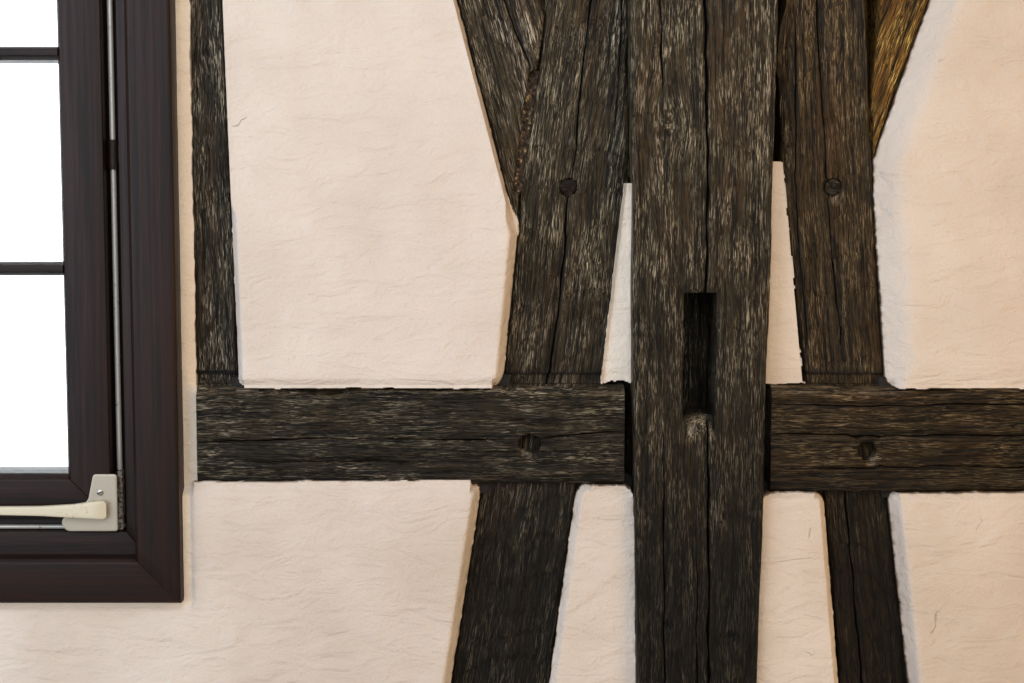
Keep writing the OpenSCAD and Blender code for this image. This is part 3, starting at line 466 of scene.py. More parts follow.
@dataclass(frozen=True)
class StainedSoftwood:
    """Planed softwood, stained dark and varnished satin, with pores of half a millimetre."""

    title: str = "stained softwood"
    slot: str = "stained_wood"
    body: str = "#26130c"
    vein: str = "#120907"
    roughness: float = 0.38

    def material(self) -> bpy.types.Material:
        """Makes the material."""
        recipe = Recipe(bpy.data.materials.new(self.title))
        grain = recipe.add("Attribute", {}, out=1, attribute_name=GRAIN)
        layers = []
        for along_mm, across_mm, detail in ((260, 7, 3), (40, 1.4, 2)):
            spot = recipe.add("VectorMath", {0: grain, 1: cells(along_mm, across_mm)}, **TIMES)
            layers.append(recipe.add("TexNoise", {"Vector": spot, "Scale": 1, "Detail": detail}))
        veins, pores = layers
        share = recipe.add("Math", {0: pores, 1: 0.5, 2: veins}, operation="MULTIPLY_ADD")
        tone = recipe.add("MapRange", {0: share, 1: 0.6, 2: 0.9})
        colour = recipe.add("Mix", {0: tone, 6: linear(self.vein), 7: linear(self.body)}, **COLOURS)
        normal = recipe.add("Bump", {"Height": pores, "Strength": 0.6, "Distance": 0.25 * MM})
        gloss = recipe.add("MapRange", {0: tone, 3: self.roughness + 0.12, 4: self.roughness})
        return recipe.finish({"Base Color": colour, "Roughness": gloss, "Normal": normal,
                              "Specular IOR Level": 0.2})


@dataclass(frozen=True)
class PaintedSteel:
    """Steel or cast zinc under old paint, with brush marks, dust and worn spots."""

    title: str
    paint: str
    worn: str
    slot: str = "zinc"
    metallic: float = 0.0
    roughness: float = 0.42
    worn_from: float = 0.6

    def material(self) -> bpy.types.Material:
        """Makes the material."""
        recipe = Recipe(bpy.data.materials.new(self.title))
        place = recipe.add("TexCoord", {}, out=3)
        spots = recipe.add("TexNoise", {"Vector": place, "Scale": 1 / 0.006, "Detail": 5,
                                        "Roughness": 0.65})
        share = recipe.add("MapRange", {0: spots, 1: self.worn_from, 2: self.worn_from + 0.08})
        colour = recipe.add("Mix", {0: share, 6: linear(self.paint), 7: linear(self.worn)}, **COLOURS)
        normal = recipe.add("Bump", {"Height": spots, "Strength": 0.5, "Distance": 0.2 * MM})
        gloss = recipe.add("MapRange", {0: spots, 1: 0.3, 2: 0.7, 3: self.roughness - 0.08,
                                        4: self.roughness + 0.15})
        return recipe.finish({"Base Color": colour, "Metallic": self.metallic,
                              "Roughness": gloss, "Normal": normal})


@dataclass(frozen=True)
class WindowGlass:
    """Drawn window glass of 4 mm, clear with a trace of green."""

    title: str = "drawn window glass"
    slot: str = "window_glass"
    tint: str = "#f6faf9"

    def material(self) -> bpy.types.Material:
        """Makes the material."""
        recipe = Recipe(bpy.data.materials.new(self.title))
        place = recipe.add("TexCoord", {}, out=3)
        # Slow waves from drawing the sheet
        waves = recipe.add("TexNoise", {"Vector": place, "Scale": 1 / 0.09, "Detail": 1})
        normal = recipe.add("Bump", {"Height": waves, "Strength": 0.3, "Distance": 0.4 * MM})
        return recipe.finish({"Base Color": linear(self.tint), "Roughness": 0.02, "IOR": 1.52,
                              "Transmission Weight": 1.0, "Normal": normal})


@functools.cache
def material_of(finish: Finish) -> bpy.types.Material:
    """Makes each finish's material once."""
    return finish.material()


OAK = HewnOak()
DARK_OAK = HewnOak("old hewn oak, nearly black", "dark_oak", body="#352a1d", painted_glint="#8c806d",
                   warm="#452714", cool="#20282a")
BROWN_OAK = HewnOak("old hewn oak, brown", body="#47361f", painted_glint="#c0a983", painted_glint_share=0.75)
STUD_OAK = HewnOak("old hewn oak, dark", body="#392f20")
# Lit copies of the oak: the left head brace painted lighter and the right head brace painted warm
# gold, as the light on them
TOP_LIT_OAK = HewnOak("old hewn oak, toplit", "dark_oak", body="#4b402c", painted_glint="#e0d4bc")
WARM_LIT_OAK = HewnOak("worn lamplit oak", "honey_oak", hollow="#0d0803", body="#7a5420",
                    painted_glint="#ffdc80", warm="#3a230e", cool="#2b2918", fibre_mm=2.0)
PLASTER = LimePlaster()
# Plaster painted lighter, as light on the strip round the window that lies in the casing's shade
LIGHTENED_PLASTER = LimePlaster("fresh lime plaster", wash="#fbecd8", shade="#f3e2cc")
MORTAR = ClayMortar()
STAINED = StainedSoftwood()
GLASS = WindowGlass()
SILVER = PaintedSteel("silver painted steel", "#cdc9c0", "#6b5f52", metallic=0.3, roughness=0.36)
GREY_ZINC = PaintedSteel("dusty cast zinc", "#b1a998", "#6f6355", metallic=0.3, roughness=0.4,
                         worn_from=0.64)
BARE_STEEL = PaintedSteel("bright steel", "#a5a198", "#5c544a", metallic=0.8, roughness=0.3)
CREAM = PaintedSteel("cream enamelled zinc", "#d9d0b6", "#b9aa86", "pale_paint")
UMBER = PaintedSteel("umber painted steel", "#3a2e28", "#5d5148", "dark_metal", roughness=0.5)
RUST = PaintedSteel("rusted steel", "#5a4638", "#b5ada0", metallic=0.4, roughness=0.6,
                    worn_from=0.46)


class Shell:
    """Collects the points and faces of one piece before they become a mesh."""

    def __init__(self) -> None:
        """Starts an empty piece."""
        self.points: list[Array] = []
        self.grain: list[Array] = []
        self.dirt_and_shading: list[Array] = []
        self.faces: list[list[int]] = []
        self.count = 0

    def _take(self, points: Array, grain: Array | None, dirt_and_shading: Array | None) -> int:
        """Stores points.

        Args:
            points: The points.
            grain: Their grain coordinates, or None for the points themselves.
            dirt_and_shading: Their share of dirt, or None for clean ones.

        Returns:
            The number of the first one.
        """
        first = self.count
        points = points.reshape(-1, 3)
        self.points.append(points)
        self.grain.append(points if grain is None else grain.reshape(-1, 3))
        self.dirt_and_shading.append(np.zeros(len(points)) if dirt_and_shading is None else dirt_and_shading.reshape(-1))
        self.count += len(points)
        return first

    def loft(self, rings: Array, grain: Array | None = None, dirt_and_shading: Array | None = None,
             flip: bool = False) -> None:
        """Adds a closed tube through rings of points, with a flat cap at each end.

        Args:
            rings: Points as rings, points of a ring and coordinates, anticlockwise seen from the end.
            grain: Grain coordinates in the same order.
            dirt_and_shading: Share of dirt in the same order.
            flip: True to turn all faces round.
        """
        first = self._take(rings, grain, dirt_and_shading)
        index = first + np.arange(rings.shape[0] * rings.shape[1]).reshape(rings.shape[:2])
        after = np.roll(index, -1, 1)
        quads = np.stack([index[:-1], after[:-1], after[1:], index[1:]], -1).reshape(-1, 4)
        faces = [*quads.tolist(), index[0][::-1].tolist(), index[-1].tolist()]
        self.faces += [face[::-1] for face in faces] if flip else faces

    def slab(self, x: Array, z: Array, front: Array, back: Array, used: Array,
             dirt_and_shading: Array | None = None) -> None:
        """Adds a slab between two grids, closed round the edge of the cells in use.

        Args:
            x: Place along the wall of each grid point, rows rising with height.
            z: Height of each grid point.
            front: Y of the room face.
            back: Y of the outer face.
            used: True for each cell that belongs to the slab.
            dirt_and_shading: Share of dirt of each grid point on the room face.
        """
        total = x.size
        index = np.arange(total).reshape(x.shape)
        corners = [index[:-1, :-1], index[:-1, 1:], index[1:, 1:], index[1:, :-1]]
        quads = np.stack([corner[used] for corner in corners], -1)
        runs = np.concatenate([quads[:, [i, (i + 1) % 4]] for i in range(4)])
        keys = np.sort(runs, 1) @ np.array([total, 1])
        _, place, times = np.unique(keys, return_index=True, return_counts=True)
        rim = runs[place[times == 1]]
        walls = np.stack([rim[:, 1], rim[:, 0], rim[:, 0] + total, rim[:, 1] + total], -1)
        faces = np.concatenate([quads, quads[:, ::-1] + total, walls])
        kept, faces = np.unique(faces, return_inverse=True)
        points = np.concatenate([np.stack([x, y, z], -1).reshape(-1, 3) for y in (front, back)])
        share = np.zeros(2 * total)
        if dirt_and_shading is not None:
            share[:total] = dirt_and_shading.reshape(-1)
        first = self._take(points[kept], points[kept], share[kept])
        self.faces += (faces.reshape(-1, 4) + first).tolist()

    def build(self, title: str, finish: Finish, nodes: Sequence[str] = (),
              crease: float = 40) -> None:
        """Makes the mesh and fits the piece to the frame.

        Args:
            title: Name of the piece.
            finish: Finish of its whole surface.
            nodes: CAD nodes that it stands for.
            crease: Angle in degrees from which an edge stays sharp.
        """
        mesh = bpy.data.meshes.new(title)
        mesh.from_pydata(np.concatenate(self.points), [], self.faces)
        vectors = mesh.attributes.new(GRAIN, "FLOAT_VECTOR", "POINT")
        vectors.data.foreach_set("vector", np.concatenate(self.grain).ravel())
        shares = mesh.attributes.new(DIRT_AND_SHADING, "FLOAT", "POINT")
        shares.data.foreach_set("value", np.concatenate(self.dirt_and_shading))
        mesh.shade_smooth()
        mesh.set_sharp_from_angle(angle=math.radians(crease))
        mesh.materials.append(material_of(finish))
        piece = bpy.data.objects.new(title, mesh)
        bpy.context.scene.collection.objects.link(piece)
        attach(piece, BODY)
        if nodes:
            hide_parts(*nodes)
        log.info("%s: %d faces", title, len(mesh.polygons))


@dataclass(frozen=True)
class Shake:
    """A drying crack in a timber's room face.

    The route runs through (station, place) pairs in mm, heights counted from the floor and places
    along the wall from the post axis.
    """

    route: tuple[Point, ...]
    width_mm: float = 2.4
    depth_mm: float = 9.0
    fade_mm: float = 30.0


@dataclass(frozen=True)
class Hole:
    """A round peg hole in a timber's room face, at a height and a place along X in metres.

    The chip says which way its torn lip lies, across and along the timber.
    """

    z: float
    x: float
    depth_mm: float
    radius_mm: float = 11.0
    torn_mm: float = 0.0
    chip: Point = (-1.0, 0.0)
    dirt_and_shading: float = 1.0


@dataclass(frozen=True)
class Knot:
    """A branch knot in a timber's room face, as station and place in mm, with its radius."""

    station: float
    place: float
    radius_mm: float = 13.0


@dataclass(frozen=True)
class Mortise:
    """An empty mortise in the room face, with the torn notch below it."""

    low: float
    high: float
    half: float
    depth: float
    notch: float


@dataclass(frozen=True)
class Gap:
    """A stretch of a timber's side that stands back from its neighbour.

    The side is -1 for the lower edge and 1 for the higher edge, and opens over a length.
    """

    side: int
    start: float
    end: float
    width: float
    opens_over: float
    depth: float = 70 * MM


@dataclass
class Skin:
    """The surface of a timber while it takes shape.

    Its points lie in rings, one for each station, and the columns of the room face come first.
    Low and high are the timber's edges at each ring, and push is how far a point is set back. The
    share of soiling and painted shading runs from -1 for pale torn wood and painted highlight to 1 for
    black.
    """

    rows: Array
    low: Array
    high: Array
    along: Array
    across: Array
    depth: Array
    push: Array
    dirt_and_shading: Array
    face: int

    def room_face(self) -> tuple[Array, ...]:
        """The room face's share of along, across, push and dirt, to be changed in place."""
        return tuple(values[:, :self.face] for values in (self.along, self.across, self.push,
                                                          self.dirt_and_shading))


@dataclass
class Timber:
    """One hewn timber, built as rings along its length, whose skin is laid when it is built."""

    node: str
    way: Way = Way.UPRIGHT
    finish: HewnOak = OAK
    seed: int = 1
    natural: Edge = Edge.MIDDLE
    start: float = FOOT_Z
    end: float = HEAD_Z
    bury: Point = (6 * MM, 6 * MM)
    fine: float = 2.6 * MM
    step: float = 4.2 * MM
    coarse: float = 10 * MM
    arris: Point = (5 * MM, 5 * MM)
    hewing_mm: float = 1.2
    ridge_mm: float = 1.1
    strike_mm: float = 46.0
    tuck: Point = (7 * MM, 7 * MM)
    shakes: tuple[Shake, ...] = ()
    holes: tuple[Hole, ...] = ()
    knots: tuple[Knot, ...] = ()
    mortise: Mortise | None = None
    gaps: tuple[Gap, ...] = ()
    low_shade: float = 0.84
    sway: float = 0.8 * MM
    ledge: float = 0.0
    ledge_h: float = 13 * MM
    arris_highlight: float = 0.0
    swell: Point = (0.0, 0.0)
    skin: Skin = field(init=False)

    def build(self) -> None:
        """Builds the timber and fits it to the frame."""
        cracks = self._wrap()
        skin = self.skin
        centre = {Edge.LOW: skin.low, Edge.HIGH: skin.high,
                  Edge.MIDDLE: (skin.low + skin.high) / 2}[self.natural]
        self._bore()
        self._weather()
        lean_across, lean_depth = self._round()
        relative = skin.across - centre
        relief = self._relief(relative)
        for column, shake, strength in cracks:
            self._split(column, shake, strength)
        skin.across = skin.across - lean_across * relief
        skin.depth = skin.depth - lean_depth * relief + skin.push
        self._tuck_sides()
        for gap in self.gaps:
            self._open_gap(gap)
        level = self.way is Way.LEVEL
        rings = np.stack([skin.along, skin.depth, skin.across], -1)
        rings = rings if level else rings[..., ::-1]
        bent = self._around_knots(relative)
        grain = np.stack([skin.along + self.seed * 1.37, bent + self.seed * 0.61, skin.depth], -1)
        shell = Shell()
        shell.loft(rings, grain, skin.dirt_and_shading, flip=level)
        shell.build("hewn_" + self.node, self.finish, [self.node], crease=55)

    def _wrap(self) -> list[tuple[int, Shake, Array]]:
        """Lays the skin round the square timber, whose edges sway slightly.

        Returns:
            For each crack its middle column and its strength at each station.
        """
        rows = self._rows()
        low, high = reach(self.node, self.way,
                          np.clip(rows, self.start + 0.2 * MM, self.end - 0.2 * MM))
        low = low + self.sway * (1 + ripple(self.seed + 10, rows / 0.16)) - self.swell[0]
        high = high - self.sway * (1 + ripple(self.seed + 11, rows / 0.16)) + self.swell[1]
        face, cracks = self._columns(rows, low, high)
        front, back = self._depths()
        share = (1 - np.cos(np.linspace(0, math.pi, 19))) / 2
        depths = front + (back - front) * share[1:-1]
        behind = np.linspace(0, 1, max(5, round(float((high - low).mean()) / (9 * MM))))
        flat = np.ones((len(face), 1))
        low, high = low[:, None], high[:, None]
        across = np.concatenate([face, high + 0 * depths, high + (low - high) * behind,
                                 low + 0 * depths], 1)
        depth = np.concatenate([front + 0 * face, depths * flat, back + 0 * behind * flat,
                                depths[::-1] * flat], 1)
        along = np.broadcast_to(rows[:, None], across.shape).copy()
        height = along if self.way is Way.UPRIGHT else across
        # Painted shade: the timber grows darker towards the bottom
        dirt_and_shading = self.low_shade * np.interp(height, [0.9, 1.02, 1.15, 1.5], [1, 0.75, 0.45, 0])
        self.skin = Skin(rows, low, high, along, across, depth, np.zeros(across.shape), dirt_and_shading,
                         face.shape[1])
        return cracks

    def _weather(self) -> None:
        """Adds the ledge above a rail, a painted highlight along the upper arris and the torn knots.
        """
        skin = self.skin
        if self.ledge:
            above = skin.along - self.ledge
            skin.push += 5 * MM * (above > 0) * (above < self.ledge_h)
            skin.dirt_and_shading += 0.9 * np.exp(-((above - 15 * MM) / (2.2 * MM))**2)
        # Painted highlight: the upper arris is painted pale, as light falling on it
        edge = (skin.high - skin.across) / MM + 2 * ripple(self.seed + 50, skin.along / 0.02)
        streaks = 0.65 + 0.5 * ripple(self.seed + 51, skin.along / 0.03, skin.across / 0.003)
        skin.dirt_and_shading -= self.arris_highlight * smooth(17, 9, edge) * streaks
        for knot in self.knots:
            rise, side = skin.along - knot.station * MM, skin.across - from_axis(knot.place)
            within = smooth(1.1, 0.6, np.hypot(rise / 1.5, side) / (knot.radius_mm * MM))
            torn = ripple(self.seed + 52, skin.along / 0.006, skin.across / 0.004)
            skin.push += 2.4 * MM * within * (0.5 + torn)
            skin.dirt_and_shading += within * (0.3 + 0.9 * torn)

    def _rows(self) -> Array:
        """Stations along the timber."""
        sight = SIGHT if self.way is Way.UPRIGHT else EVERYWHERE
        breaks = [self.mortise.low, self.mortise.high] if self.mortise else []
        breaks += [self.ledge, self.ledge + self.ledge_h] if self.ledge else []
        return stations(self.start - self.bury[0], self.end + self.bury[1], self.step, self.coarse,
                        sight, breaks)

    def _route(self, shake: Shake, rows: Array) -> tuple[Array, Array]:
        """Lays a crack along the timber.

        Args:
            shake: The crack.
            rows: Stations.

        Returns:
            Its place across the timber and its strength at each station.
        """
        along, across = np.array(shake.route).T * MM
        if self.way is Way.UPRIGHT:
            across += POST_AXIS
        else:
            along += POST_AXIS
        fade = shake.fade_mm * MM
        strength = np.clip((rows - along[0]) / fade, 0, 1) * np.clip((along[-1] - rows) / fade, 0, 1)
        wander = MM * (1.1 * ripple(self.seed + 90, rows / 0.03)
                       + 0.5 * ripple(self.seed + 91, rows / 0.009))
        return np.interp(rows, along, across) + wander, strength

    def _columns(self, rows: Array, low: Array, high: Array) -> tuple[Array, list[tuple]]:
        """Places across the room face.

        Args:
            rows: Stations.
            low: The face's lower edge at each station.
            high: Its higher edge.

        Returns:
            The places as rows and columns, and for each crack its middle column and strength.
        """
        lines = []
        for number, shake in enumerate(self.shakes):
            route, strength = self._route(shake, rows)
            varied = 0.75 + 0.5 * ripple(self.seed + 80 + number, rows / 0.03)
            half = shake.width_mm * MM * (0.2 + 0.8 * strength * varied) / 2
            lines += [(route - half, None, None), (route, shake, strength), (route + half, None, None)]
        if self.mortise:
            for side in (-1, 1):
                for lip in (-0.4 * MM, 0.4 * MM):
                    place = POST_AXIS + side * self.mortise.half + lip + self._mortise_sway(rows)
                    lines.append((place, None, None))
        lines.sort(key=lambda line: line[0].mean())
        count = max(6, round(float((high - low).mean()) / self.fine))
        numbers = [0]
        for place, _, _ in lines:
            share = float(((place - low) / np.maximum(high - low, MM)).mean())
            numbers.append(max(numbers[-1] + 1, round(share * count)))
        count = max(count, numbers[-1] + 2)
        numbers.append(count)
        spare = 0.5 * MM
        anchors = [low]
        for i, (place, _, _) in enumerate(lines):
            anchors.append(np.clip(place, low + (i + 1) * spare, high - (len(lines) - i) * spare))
        anchors = np.stack([*anchors, high], 1)
        places = np.stack([np.interp(np.arange(count + 1), numbers, row) for row in anchors])
        cracks = [(numbers[i + 1], line[1], line[2]) for i, line in enumerate(lines) if line[1]]
        return places, cracks

    def _depths(self) -> tuple[float, float]:
        """Y of the room face and of the outer face."""
        low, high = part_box(self.node)
        return low.y, high.y

    def _bore(self) -> None:
        """Opens peg holes and the mortise in the room face."""
        along, across, push, dirt_and_shading = self.skin.room_face()
        for number, hole in enumerate(self.holes):
            station, place = (hole.z, hole.x) if self.way is Way.UPRIGHT else (hole.x, hole.z)
            side, rise = across - place, along - station
            turn = np.arctan2(side, rise)
            uneven = 0.05 if hole.depth_mm > 10 else 0.12
            sway = ripple(self.seed + 30 + number, turn / 0.5 + 20)
            radius = hole.radius_mm * MM * (1 + uneven * sway)
            square = np.maximum(np.abs(side), np.abs(rise))
            round_size = np.maximum(np.hypot(side, rise), 1e-9)
            wanted = np.interp(square / radius, [0, 0.6, 0.96, 1.05, 1.7, 2.4],
                               [0, 0.82, 0.97, 1.03, 1.7, 2.4]) * radius
            share = 1 - smooth(1.3, 2.4, square / radius)
            factor = share * wanted / round_size + 1 - share
            within = square < radius
            across += side * (factor - 1)
            along += rise * (factor - 1)
            lip = np.exp(-((np.hypot(side, rise) / radius - 1.15) / 0.25)**2)
            push += 0.8 * MM * lip * (0.6 + 0.4 * ripple(self.seed + 33, turn / 0.6 + 9))
            if hole.torn_mm:
                across_chip = (side * hole.chip[0] + rise * hole.chip[1]) / radius
                along_chip = (rise * hole.chip[0] - side * hole.chip[1]) / radius
                torn = np.exp(-((across_chip - 1.35) / 0.55)**2 - (along_chip / 0.95)**2)
                push += hole.torn_mm * MM * torn
                dirt_and_shading[:] = np.where(torn > 0.25, -0.75 * torn, dirt_and_shading)
            push[within] = hole.depth_mm * MM
            # Painted shade: the inside of the hole is painted dark
            dirt_and_shading[within] = hole.dirt_and_shading
        if self.mortise:
            self._cut_mortise(self.mortise)

    def _cut_mortise(self, cut: Mortise) -> None:
        """Cuts the mortise and tears the fibres below it.

        Args:
            cut: The mortise.
        """
        along, across, push, dirt_and_shading = self.skin.room_face()
        side = np.abs(across - POST_AXIS - self._mortise_sway(along))
        beyond = np.maximum(side - cut.half, np.maximum(cut.low - along, along - cut.high))
        uneven = 0.5 + 0.5 * ripple(self.seed + 35, along / 0.011, across / 0.005)
        push += 3.2 * MM * uneven * np.exp(-(np.maximum(beyond, 0) / (3.5 * MM))**2)
        dirt_and_shading += 0.35 * np.exp(-(np.maximum(beyond, 0) / (6 * MM))**2)
        drop = (cut.low - along) / cut.notch
        below = (drop > -0.02) & (drop < 1.6)
        bow = np.clip(1 - (side / (0.95 * cut.half))**2, 0, 1)
        shoulder = 0.42 * (1 - bow)
        torn = np.clip(1 - (drop - shoulder), 0, 1) * (bow > 0)
        push += np.where(below, 15 * MM * torn**1.6 * (0.75 + 0.25 * uneven), 0)
        chewed = np.exp(-((drop - 0.35 - 0.8 * (1 - bow)) / 0.42)**2) * smooth(0, 0.15, bow)
        dirt_and_shading[:] = np.where(below, dirt_and_shading * (1 - chewed) - 0.75 * chewed * (0.3 + uneven), dirt_and_shading)
        # Painted shade: the inside of the mortise is painted dark
        within = beyond < 0
        push[within] = cut.depth
        dirt_and_shading[within] = 0.62 + 0.3 * ripple(self.seed + 36, along / 0.05, across / 0.007)[within]

    def _mortise_sway(self, along: Array) -> Array:
        """How far the mortise's cheeks stray to one side, chiselled by hand."""
        return MM * (1.6 * ripple(self.seed + 37, along / 0.03)
                     + 0.8 * ripple(self.seed + 38, along / 0.009))

    def _split(self, column: int, shake: Shake, strength: Array) -> None:
        """Opens a crack along one column, with slightly sunken lips, painted dark as the shade in it.

        Args:
            column: The column along the crack's middle.
            shake: The crack.
            strength: Its strength at each station.
        """
        push, dirt_and_shading = self.skin.push, self.skin.dirt_and_shading
        rough = 0.75 + 0.25 * ripple(self.seed + 70 + column, self.skin.rows / 0.02)
        push[:, column] = np.maximum(push[:, column], shake.depth_mm * MM * strength * rough)
        dirt_and_shading[:, column] = np.maximum(dirt_and_shading[:, column], np.minimum(1, 2 * strength))
        for lip in (column - 1, column + 1):
            push[:, lip] += 0.7 * MM * strength
            dirt_and_shading[:, lip] = np.maximum(dirt_and_shading[:, lip], 0.5 * strength)

    def _round(self) -> tuple[Array, Array]:
        """Rounds the four arrises of the cross-section.

        Returns:
            The outward direction of each point, across the timber and along Y.
        """
        skin = self.skin
        front, back = self._depths()
        low, high, across, depth = skin.low, skin.high, skin.across, skin.depth
        to_high = (high - across) < (across - low)
        to_back = (back - depth) < (depth - front)
        side_gap = np.maximum(np.where(to_high, high - across, across - low), 0)
        face_gap = np.maximum(np.where(to_back, back - depth, depth - front), 0)
        wear = [size * (1 + 0.45 * ripple(self.seed + 20 + i, skin.rows / 0.07)
                        + 0.5 * np.maximum(0, ripple(self.seed + 24 + i, skin.rows / 0.018)))
                for i, size in enumerate(self.arris)]
        radius = np.where(to_high, wear[1][:, None], wear[0][:, None])
        radius = np.where(to_back, 0.5 * radius, radius)
        radius = np.minimum(radius, (high - low) * 0.3)
        on_face = face_gap < 1e-7
        turn = math.pi / 4 * np.clip(1 - np.where(on_face, side_gap, face_gap) / radius, 0, 1)
        lean_side = np.where(on_face, np.sin(turn), np.cos(turn))
        lean_face = np.where(on_face, np.cos(turn), np.sin(turn))
        curved = turn > 0
        side_gap = np.where(curved, radius * (1 - lean_side), side_gap)
        face_gap = np.where(curved, radius * (1 - lean_face), face_gap)
        skin.across = np.where(to_high, high - side_gap, low + side_gap)
        skin.depth = np.where(to_back, back - face_gap, front + face_gap)
        return np.where(to_high, lean_side, -lean_side), np.where(to_back, lean_face, -lean_face)

    def _relief(self, across: Array) -> Array:
        """How far the worn surface lies inside the timber's outline.

        Args:
            across: Place across the timber, counted from its natural edge.

        Returns:
            The distance inwards.
        """
        skin = self.skin
        along, depth = skin.along, skin.depth
        margin = np.minimum(skin.across - skin.low, skin.high - skin.across)
        broad = 0.5 + 0.5 * ripple(self.seed + 1, along / 0.13, across / 0.04, depth / 0.04)
        ridges = np.abs(ripple(self.seed + 2, along / 0.14, across / 0.008, depth / 0.008))
        fibres = 0.5 + 0.5 * ripple(self.seed + 3, along / 0.03, across / 0.0045, depth / 0.0045)
        swing = 0.9 * ripple(self.seed + 4, along / 0.11, across / 0.05, depth / 0.05)
        strike = (along / (self.strike_mm * MM) + swing) % 1
        hewn = 0.5 + 0.5 * ripple(self.seed + 6, along / 0.07, across / 0.035, depth / 0.04)
        hewn = hewn * smooth(0, 14 * MM, margin)
        patch = smooth(-0.3, 0.4, ripple(self.seed + 5, along / 0.2, across / 0.05, depth / 0.05))
        worn = self.ridge_mm * (1 - np.minimum(1, 2.2 * ridges)) * (0.35 + 0.65 * patch)
        return MM * (0.7 * broad + worn + 0.6 * fibres + self.hewing_mm * hewn * strike**1.5)

    def _around_knots(self, relative: Array) -> Array:
        """Bends the grain round the knots.

        Args:
            relative: Place across the timber, counted from its natural edge.

        Returns:
            The across coordinate of the grain.
        """
        grain = relative.copy()
        for knot in self.knots:
            rise = (self.skin.along - knot.station * MM) / 1.8
            side = self.skin.across - from_axis(knot.place)
            distance = np.hypot(rise, side)
            grain -= side * 0.7 * np.exp(-(distance / (2.2 * (knot.radius_mm * MM)))**2)
        return grain

    def _tuck_sides(self) -> None:
        """Widens the hidden middle of both sides, so that no light passes the joints."""
        skin, back = self.skin, self._depths()[1]
        hidden = smooth(-46 * MM, -42 * MM, skin.depth)
        hidden = hidden * smooth(back - 10 * MM, back - 14 * MM, skin.depth)
        to_low, to_high = skin.across - skin.low, skin.high - skin.across
        outwards = np.where(to_high < to_low, self.tuck[1], -self.tuck[0])
        skin.across = skin.across + hidden * outwards * (np.minimum(to_high, to_low) < 6 * MM)

    def _open_gap(self, gap: Gap) -> None:
        """Moves the front part of one side back from its neighbour.

        Args:
            gap: The gap.
        """
        skin = self.skin
        opening = gap.width * smooth(gap.start, gap.start + gap.opens_over, skin.along)
        opening *= 1 - smooth(gap.end - MM, gap.end + MM, skin.along)
        opening *= 1 + 0.2 * ripple(self.seed + 40, skin.along / 0.03)
        opening *= skin.depth < self._depths()[0] + gap.depth
        moved = (np.maximum(skin.across, skin.low + opening) if gap.side < 0
                 else np.minimum(skin.across, skin.high - opening))
        skin.across = np.where(opening < 0.1 * MM, skin.across, moved)


# Drying cracks in the room faces
SHAKES = {
    "centre_post": (
        Shake(((740, 14), (771, 15), (900, 14), (1040, 12), (1085, 11), (1268, 6), (1340, 7),
               (1441, 7), (1540, 4), (1624, 2), (1700, 2), (1960, 0)), 4.2, 18),
        Shake(((640, -42), (771, -41), (900, -43), (1000, -44), (1092, -45)), 2.8, 8),
        Shake(((1510, -50), (1624, -53), (1800, -56)), 3, 9),
        Shake(((220, 2), (640, 1), (771, 0), (880, -1), (935, -2)), 2.2, 7),
        Shake(((220, 36), (420, 40), (700, 44)), 2.2, 9)),
    "left_rail": (
        Shake(((-638, 1073), (-540, 1077), (-447, 1080), (-330, 1078), (-229, 1077)), 3, 9),
        Shake(((-205, 1079), (-150, 1085), (-92, 1089)), 2.6, 8),
        Shake(((-600, 1050), (-480, 1048), (-390, 1051)), 2, 5)),
    "right_rail": (
        Shake(((88, 1122), (260, 1121), (420, 1123), (560, 1121)), 2.6, 8),
        Shake(((88, 1084), (190, 1084), (330, 1082), (560, 1084)), 3, 9),
        Shake(((150, 1040), (300, 1043), (460, 1041)), 2.2, 6)),
    "left_long_brace": (
        Shake(((757, -248), (919, -232), (1010, -215), (1165, -188), (1230, -178), (1330, -168),
               (1372, -166), (1411, -159), (1500, -151), (1560, -145), (1628, -136),
               (1960, -90)), 3.2, 12),
        Shake(((300, -300), (600, -262), (771, -233), (880, -214), (1010, -192)), 2.4, 8),
        Shake(((1460, -106), (1560, -100), (1624, -97), (1800, -86)), 2, 6)),
    "right_long_brace": (
        Shake(((700, 224), (757, 218), (880, 205), (997, 192), (1080, 184)), 3.2, 10),
        Shake(((1190, 141), (1222, 138), (1342, 125), (1440, 121), (1624, 119)), 2.2, 6),
        Shake(((1160, 190), (1240, 178), (1342, 166), (1450, 158), (1560, 149), (1624, 145),
               (1900, 130)), 2.6, 8)),
    "left_head_brace": (Shake(((1530, -209), (1547, -214), (1628, -244), (1800, -290)), 3, 9),),
}


